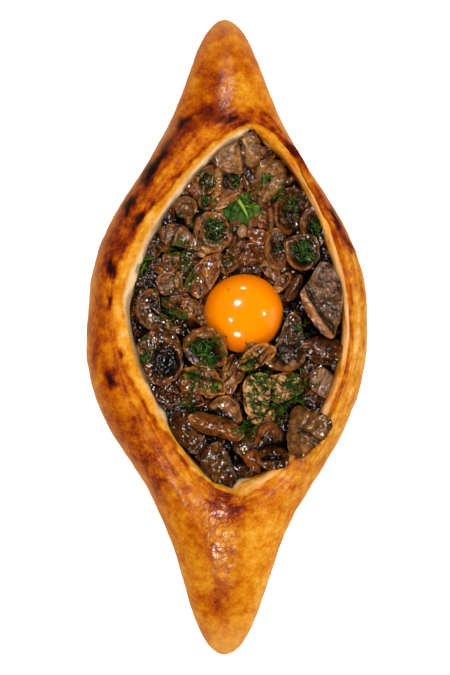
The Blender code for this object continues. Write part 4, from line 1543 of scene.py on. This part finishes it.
def scrap_spots(chance):
    """Spots for scraps: a row along the rim, then more all over the heap, none too close to another."""
    spots = []
    for angle in np.arange(-180, 180, 5.5):
        spots.append((math.radians(angle + chance.uniform(-1, 1)), 1.0))
    for _ in range(900):
        spots.append((chance.uniform(-math.pi, math.pi), math.sqrt(chance.uniform(0, 0.9))))
    kept = []
    for angle, share in spots:
        reach = (filling_edge(angle) - 3.0) * share
        spot = OPENING_MIDDLE + np.array((math.cos(angle), math.sin(angle))) * reach
        if all(np.hypot(*(spot - other)) > 4.4 for other, _ in kept):
            kept.append((spot, share))
    return kept


# Scraps: the outline and the cut of each kind.
SCRAP_KINDS = (
    ("oval", "leaf"),
    ("bean", "leaf"),
    ("wedge", "flap"),
    ("oval", "flap"),
    ("bean", "tube"),
    ("wedge", "leaf"),
)


def bit_pile(core_surface, slices):
    """Scraps and slices that fill the heap between and under the other pieces, up to the rim."""
    chance = random.Random(5)
    gathered = Pile()
    for seed, (middle, share) in enumerate(scrap_spots(chance)):
        outer = smooth(share, 0.85, 0.97)
        length, thickness = chance.uniform(9, 16) - 4 * outer, chance.uniform(1.6, 2.8)
        rise = chance.uniform(1.0, 5.0) + 2.0 * outer
        outline, shape = chance.choice(SCRAP_KINDS)
        turn = chance.uniform(0, 180)
        details = {"light": chance.uniform(0.3, 0.62), "warm": chance.uniform(0.1, 0.9)}
        if shape == "tube":
            details.update(turn=turn, dome=1.2)
        spots = [middle]
        spots += [middle + 0.4 * length * np.array((math.cos(way), math.sin(way))) for way in range(6)]
        gaps = [drop_on(slices, *spot, missing=60.0) - drop_on(core_surface, *spot) for spot in spots]
        if max(gaps) < 20:
            continue
        place = laid_place(core_surface, chance, *middle, thickness, min(rise, gaps[0] - 1.8), 0.34)
        reach = oval(length, length * chance.uniform(0.5, 0.9), turn, outline, around=30)
        gathered.merge(slice_pile(place, reach, shape, details, 100 + seed, 2.2))
    return gathered


def paint_shade_on_filling(piles, surface):
    """Paints shade into the tones of what lies below the things around it, paints a little light on what
    stands above them, and paints shade towards the rim's sides, the left and the lower end.
    """
    step, margin = 1.0, 12
    low, high = OPENING_MIDDLE - (70, 100), OPENING_MIDDLE + (70, 100)
    across, along = np.arange(low[0], high[0], step), np.arange(low[1], high[1], step)
    tops = np.array([[drop_on(surface, x, y, missing=math.nan) for y in along] for x in across])
    known = ~np.isnan(tops)
    weights = np.exp(-((np.arange(-margin, margin + 1) * step / 4.2) ** 2))

    def blurred(field):
        for axis in (0, 1):
            field = np.apply_along_axis(lambda row: np.convolve(row, weights, "same"), axis, field)
        return field

    level = blurred(np.where(known, tops, 0)) / np.maximum(blurred(known.astype(float)), 1e-6)
    for pile in piles:
        for points, tones in zip(pile.points, pile.values["tone"]):
            row = np.clip(((points[:, 0] - low[0]) / step).astype(int), 0, len(across) - 1)
            column = np.clip(((points[:, 1] - low[1]) / step).astype(int), 0, len(along) - 1)
            below = level[row, column] - points[:, 2]
            # Painted shade in the hollows below the blurred top level, and painted light on what stands above
            # it.
            tones += 0.04 * smooth(-below, 0.0, 3.0) - 0.66 * smooth(below, 0.4, 7.0)
            # Painted shade towards the rim's sides, to the left and towards the lower end.
            tones -= 0.09 * smooth(np.abs(points[:, 0] - 6), 12, 34) - 0.03
            tones -= 0.06 * smooth(-points[:, 0], 8, 28) + 0.025 * smooth(-points[:, 1], 0, 30)


# --- Yolk --------------------------------------------------------------------------------------------------


def make_yolk(material):
    """The raw yolk: a taut, low dome, fullest a little above its middle."""
    low, high = [np.array(corner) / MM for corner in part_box("egg_yolk")]
    middle, half = (low + high) / 2, (high - low) / 2
    around, rows = 96, 56
    angle = round_angles(around)
    rings = []
    for row in range(1, rows):
        rise = -math.pi / 2 + math.pi * row / rows
        reach, height = math.cos(rise) ** 0.94, math.sin(rise)
        rings.append(np.stack((reach * np.cos(angle), reach * np.sin(angle), np.full(around, height)), -1))
    unit = np.concatenate(([(0, 0, -1)], *rings, [(0, 0, 1)]))
    points = middle + unit * half
    points += unit * (0.35 * lumps(points, 16, 41))[:, None]
    off = np.hypot(points[:, 0] - middle[0], points[:, 1] - middle[1]) / half[0]
    # Painted shade: the edge and the lower side are deeper orange.
    lower = smooth(-(points[:, 1] - middle[1]) / half[1], -0.2, 1)
    edge = 0.75 * smooth(off, 0.55, 1.0) + 0.45 * lower * smooth(off, 0.2, 0.9)
    fleck = bump_at(np.hypot(points[:, 0] - middle[0] + 7.6, points[:, 1] - middle[1] - 11.5), 0, 0.45)
    pile = Pile()
    pile.add(points, closed_faces(rows - 1, around), edge=edge, fleck=fleck)
    pile.make("raw_yolk", material, "yolk", "egg_yolk")
    return pile


# --- Herbs -------------------------------------------------------------------------------------------------

# Dill: x, y, how far it is scattered, how many bits, and how long they are in mm.
DILL_PATCHES = (
    (-9, 79, 4, 12, 2.6),
    (5, 78, 3, 14, 2.6),
    (20, 78, 3.5, 18, 2.8),
    (-10, 68, 4, 18, 2.8),
    (12, 70, 6, 26, 2.8),
    (27, 71, 4, 12, 2.6),
    (34, 66, 5, 24, 2.8),
    (46, 55, 4, 24, 2.8),
    (-17, 59, 4, 16, 2.6),
    (-5, 54, 5, 42, 2.8),
    (39, 43, 5, 52, 2.8),
    (-24, 42, 7, 34, 2.8),
    (-40, 37, 3, 14, 4.2),
    (-17, 30, 6, 24, 2.6),
    (2, 38, 5, 14, 2.6),
    (-30, 20, 6, 8, 2.4),
    (28, 47, 4, 8, 2.4),
    (-27, 11, 6, 26, 3.0),
    (-40, -10, 2.5, 16, 2.4),
    (-9, -8, 6, 66, 3.2),
    (-15, -21, 6, 34, 3.0),
    (-6, -25, 5, 16, 2.8),
    (-18, -34, 4, 16, 2.6),
    (12, -14, 6, 30, 3.6),
    (20, -21, 6, 54, 3.0),
    (34, -24, 7, 70, 3.4),
    (18, -33, 7, 52, 3.0),
    (25, -37, 5, 22, 3.0),
    (11, -45, 4, 44, 3.0),
    (38, 4, 3, 16, 2.6),
    (-1, -60, 4, 6, 2.2),
    (-33, -3, 6, 4, 2.2),
    (0, -42, 8, 8, 2.2),
)

# Long sprigs of dill: where each starts, its heading in degrees and its length.
DILL_SPRIGS = (
    (-31, 14, -32, 12),
    (-21, -1, -50, 16),
    (-9, -3, 25, 10),
    (-12, -8, -20, 14),
    (8, -14, 20, 13),
    (22, -31, 24, 17),
    (24, -34, 8, 14),
    (-18, -19, -38, 12),
    (-42, 38, 30, 8),
    (44, 58, -75, 10),
    (-28, 44, 12, 12),
    (12, -20, 80, 9),
)


def add_strand(pile, line, radius, fresh):
    """A thin three-sided strand along a line of points, pointed at its end."""
    line = np.asarray(line, float)
    ahead = np.gradient(line, axis=0)
    ahead /= np.maximum(np.linalg.norm(ahead, axis=1), 1e-9)[:, None]
    side = np.cross(ahead, (0, 0, 1))
    side /= np.maximum(np.linalg.norm(side, axis=1), 1e-9)[:, None]
    over = np.cross(side, ahead)
    thin = radius * np.linspace(1, 0.35, len(line))
    turns = (0.5, 2.6, 4.7)
    rows = [line + (side * math.cos(turn) + over * math.sin(turn)) * thin[:, None] for turn in turns]
    points = np.stack(rows, 1).reshape(-1, 3)
    faces = ring_faces(len(line), 3)
    faces += [(0, 2, 1), tuple(len(points) - back for back in (3, 2, 1))]
    pile.add(points, faces, fresh=fresh)


def laid_line(surface, start, heading, length, chance, steps, clearance=0.35, arch=0.5):
    """Points along a strand that lies over whatever is below it, wavering as it goes."""
    line = []
    x, y = start
    for step in range(steps):
        share = step / (steps - 1)
        height = drop_on(surface, x, y, missing=25.0)
        line.append((x, y, height + clearance + arch * math.sin(math.pi * share) * chance.uniform(0.3, 1)))
        heading += chance.uniform(-0.28, 0.28)
        x += length / (steps - 1) * math.cos(heading)
        y += length / (steps - 1) * math.sin(heading)
    heights = np.array([point[2] for point in line])
    eased = np.maximum(heights, np.convolve(np.pad(heights, 1, "edge"), (0.25, 0.5, 0.25), "valid"))
    return np.column_stack((np.array(line)[:, :2], eased))


def add_frond(pile, surface, start, heading, length, chance, radius):
    """A stalk of dill with needles to both sides."""
    steps = max(4, int(length / 1.6))
    stalk = laid_line(surface, start, heading, length, chance, steps)
    base = chance.uniform(0.05, 0.62)
    add_strand(pile, stalk, radius, min(1, base + 0.15))
    for index in range(1, steps):
        for side in (-1, 1):
            lean = heading + side * chance.uniform(0.5, 1.0)
            reach = length * chance.uniform(0.16, 0.34) * (1.25 - index / steps)
            needle = laid_line(surface, stalk[index][:2], lean, max(reach, 0.7), chance, 3, 0.45, 0.3)
            add_strand(pile, needle, radius * 0.72, base + chance.uniform(-0.1, 0.12))


def make_dill(surface, material):
    """Chopped dill in its patches, with longer sprigs over it."""
    chance = random.Random(11)
    pile = Pile()
    for x, y, spread, count, length in DILL_PATCHES:
        for _ in range(count):
            start = (chance.gauss(x, spread * 0.55), chance.gauss(y, spread * 0.55))
            size = length * chance.uniform(0.5, 1.2)
            add_frond(pile, surface, start, chance.uniform(0, 2 * math.pi), size, chance, 0.4)
    for x, y, turn, length in DILL_SPRIGS:
        add_frond(pile, surface, (x, y), math.radians(turn), length, chance, 0.42)
    pile.make("chopped_dill", material, "herb")


# Leaflets of the parsley leaf: x, y, half length, half width and heading in radians.
LEAFLETS = (
    (4, 62.5, 6.8, 4.6, 0.2),
    (10.5, 60.5, 5.5, 4.2, -0.6),
    (8, 66.5, 5.0, 3.6, 0.9),
    (14.5, 63, 4.0, 3.2, -1.2),
)
LEAFLET_THICKNESS = 0.35


def add_leaflet(pile, surface, x, y, half_length, half_width, heading, tone):
    """One crumpled leaflet with a lobed border, closed below."""
    around, shares = 44, np.linspace(0.08, 1, 9)
    angle = round_angles(around)
    lobes = 1 + 0.14 * np.cos(7 * angle) + 0.06 * np.cos(15 * angle + 1)
    plan = []
    for share in shares:
        along = share * lobes * half_length * np.cos(angle)
        across = share * lobes * half_width * np.sin(angle)
        plan.append(np.column_stack(turned(along, across, -heading)) + (x, y))
    plan = np.concatenate(([(x, y)], *plan))
    flat = np.column_stack((plan, np.zeros(len(plan))))
    ground = np.array([drop_on(surface, *spot, missing=30.0) for spot in plan])
    heights = 0.35 * ground + 0.65 * ground.mean() + 1.5 + 1.0 * lumps(flat, 3.2, 51, 2)
    points = np.column_stack((plan, heights))
    count = len(points)
    rim = count - around
    shell = [(0, 1 + (i + 1) % around, 1 + i) for i in range(around)] + ring_faces(len(shares), around, 1)
    below = [tuple(corner + count for corner in face) for face in shell]
    border = []
    for i in range(around):
        j = (i + 1) % around
        border.append((rim + i, rim + j, rim + count + j, rim + count + i))
    fresh = np.tile(tone + 0.2 * lumps(flat, 2.4, 52), 2)
    under = points - (0, 0, LEAFLET_THICKNESS)
    pile.add(np.concatenate((points, under)), shell + inside_out(below + border), fresh=fresh)


def make_parsley(surface, material):
    """A crumpled leaf of parsley, with its bright stem lying over it."""
    chance = random.Random(3)
    pile = Pile()
    for leaflet in LEAFLETS:
        add_leaflet(pile, surface, *leaflet, chance.uniform(0.42, 0.72))
    stem = laid_line(surface, (6.5, 68.5), math.radians(-50), 11, chance, 7, 3.0, 0.4)
    add_strand(pile, stem, 1.15, 0.98)
    twig = laid_line(surface, (9.5, 65), math.radians(-12), 6, chance, 5, 2.8, 0.2)
    add_strand(pile, twig, 0.5, 0.8)
    pile.make("parsley_leaf", material, "herb")


def make_onion_bits(surface, material):
    """Small clear bits of onion."""
    gathered = Pile()
    bits = ((8.5, 52.5, 7.5, 5, 80), (13, -3.5, 5, 3, 20), (33, -13, 5, 3.5, 60))
    for seed, (x, y, length, width, turn) in enumerate(bits):
        place = Place((x, y), 2.2, (drop_on(surface, x, y) + 1.6, 0, 0, -0.03, 0, -0.05))
        details = {"light": 0.85 - 0.15 * seed}
        gathered.merge(slice_pile(place, oval(length, width, turn), "chunk", details, 70 + seed))
    gathered.make("onion_bits", material, "onion")


# --- Studio ------------------------------------------------------------------------------------------------

# The camera looks straight down. In metres: its height, the height of the plane that it is set for, and how
# much of that plane it sees from top to bottom.
CAMERA_HEIGHT, PLANE_IN_VIEW, VIEW_HEIGHT = 1.45, 0.02, 0.3375
SENSOR = 36
LAMP_TARGET = Vector((0.0, 0.0, 0.03))
WHITE_LIGHT, WARM_LIGHT = (1.0, 1.0, 1.0), (1.0, 0.88, 0.7)

# Lamps: name, place and size in metres, power in watts, and colour.
LAMPS = (
    ("window_right", (1.15, -0.12, 0.58), 1.0, 2.0, WHITE_LIGHT),
    ("ring_above", (-0.16, 0.36, 1.2), 0.14, 4.0, WHITE_LIGHT),
    ("lamp_above_left", (-0.38, -0.22, 1.2), 0.1, 2.0, WHITE_LIGHT),
    ("lamp_above_right", (0.62, 0.02, 0.95), 0.1, 1.6, WHITE_LIGHT),
    ("lamp_near", (-0.2, -0.85, 1.15), 0.2, 4.6, WARM_LIGHT),
    ("lamp_far", (-0.02, 1.2, 1.15), 0.18, 3.7, WARM_LIGHT),
)

# Softboxes, which nothing wet mirrors: name, place and power.
SOFTBOX_SIZE = 0.7
SOFTBOXES = (
    ("softbox_right", (0.7, -0.05, 1.0), 5.0),
    ("softbox_left", (-0.95, 0.2, 0.9), 1.2),
    ("softbox_far", (0.0, 1.0, 0.95), 0.6),
    ("softbox_near", (0.1, -1.05, 0.9), 0.2),
)


def hang_lamp(name, place, size, power, colour):
    """A round lamp aimed at the bread."""
    light = bpy.data.lights.new(name, "AREA")
    light.shape = "DISK"
    light.size = size
    light.energy = power
    light.color = colour
    made = bpy.data.objects.new(name, light)
    made.location = place
    made.rotation_euler = (LAMP_TARGET - made.location).to_track_quat("-Z", "Y").to_euler()
    bpy.context.scene.collection.objects.link(made)
    return made


def make_sky():
    """A faint, even light from all round, and plain colours."""
    scene = bpy.context.scene
    scene.view_settings.view_transform = "Standard"
    scene.view_settings.look = "None"
    world = bpy.data.worlds.new("soft_sky")
    world.use_nodes = True
    sky = world.node_tree.nodes["Background"]
    sky.inputs["Color"].default_value = (1, 1, 1, 1)
    sky.inputs["Strength"].default_value = 0.12
    world.cycles_visibility.glossy = False
    scene.world = world


def make_floor(material):
    """The pale floor just below the bread, which nothing wet mirrors."""
    bpy.ops.mesh.primitive_plane_add(size=4, location=(0, 0, -0.0005))
    floor = bpy.context.active_object
    floor.name = "pale_floor"
    floor.data.materials.append(material)
    floor.visible_glossy = False


def make_camera():
    """The camera, straight above the bread's middle."""
    camera = bpy.data.cameras.new("camera")
    camera.lens = (CAMERA_HEIGHT - PLANE_IN_VIEW) * (SENSOR / 2) / (VIEW_HEIGHT / 2)
    camera.sensor_width = SENSOR
    camera.clip_end = 20
    eye = bpy.data.objects.new("camera", camera)
    eye.location = (0, 0, CAMERA_HEIGHT)
    bpy.context.scene.collection.objects.link(eye)
    bpy.context.scene.camera = eye


def make_studio(floor_material):
    """The sky, the floor, the lights and the camera."""
    make_sky()
    make_floor(floor_material)
    for lamp in LAMPS:
        hang_lamp(*lamp)
    for name, place, power in SOFTBOXES:
        hang_lamp(name, place, SOFTBOX_SIZE, power, WHITE_LIGHT).visible_glossy = False
    make_camera()


def main():
    """Makes the studio, the bread, its filling from the bottom up, the yolk and the herbs."""
    make_studio(floor_finish())
    make_bread(crust_finish())
    mushroom, onion, herb = mushroom_finish("fried_mushroom", 0.75), onion_finish(), herb_finish()

    core = core_pile()
    slices = packed_slices()
    covers = Pile()
    for pile in slices.values():
        covers.merge(pile)
    small = small_piece_pile(core.surface())
    covers.merge(small)
    bits = bit_pile(core.surface(), covers.surface())
    filling = Pile()
    for pile in (core, bits, covers):
        filling.merge(pile)
    paint_shade_on_filling([core, bits, small, *slices.values()], filling.surface())

    core.make("filling_core", mushroom_finish("filling_mass", 0.6), "filling", "mushroom_heap")
    bits.make("mushroom_bits", mushroom, "mushroom")
    small.make("small_mushroom_pieces", mushroom, "mushroom")
    for node, pile in slices.items():
        is_onion = "onion" in node
        pile.make("cut_" + node, onion if is_onion else mushroom, "onion" if is_onion else "mushroom", node)
    filling.merge(make_yolk(yolk_finish()))
    surface = filling.surface()
    make_dill(surface, herb)
    make_parsley(surface, herb)
    make_onion_bits(surface, onion)


main()
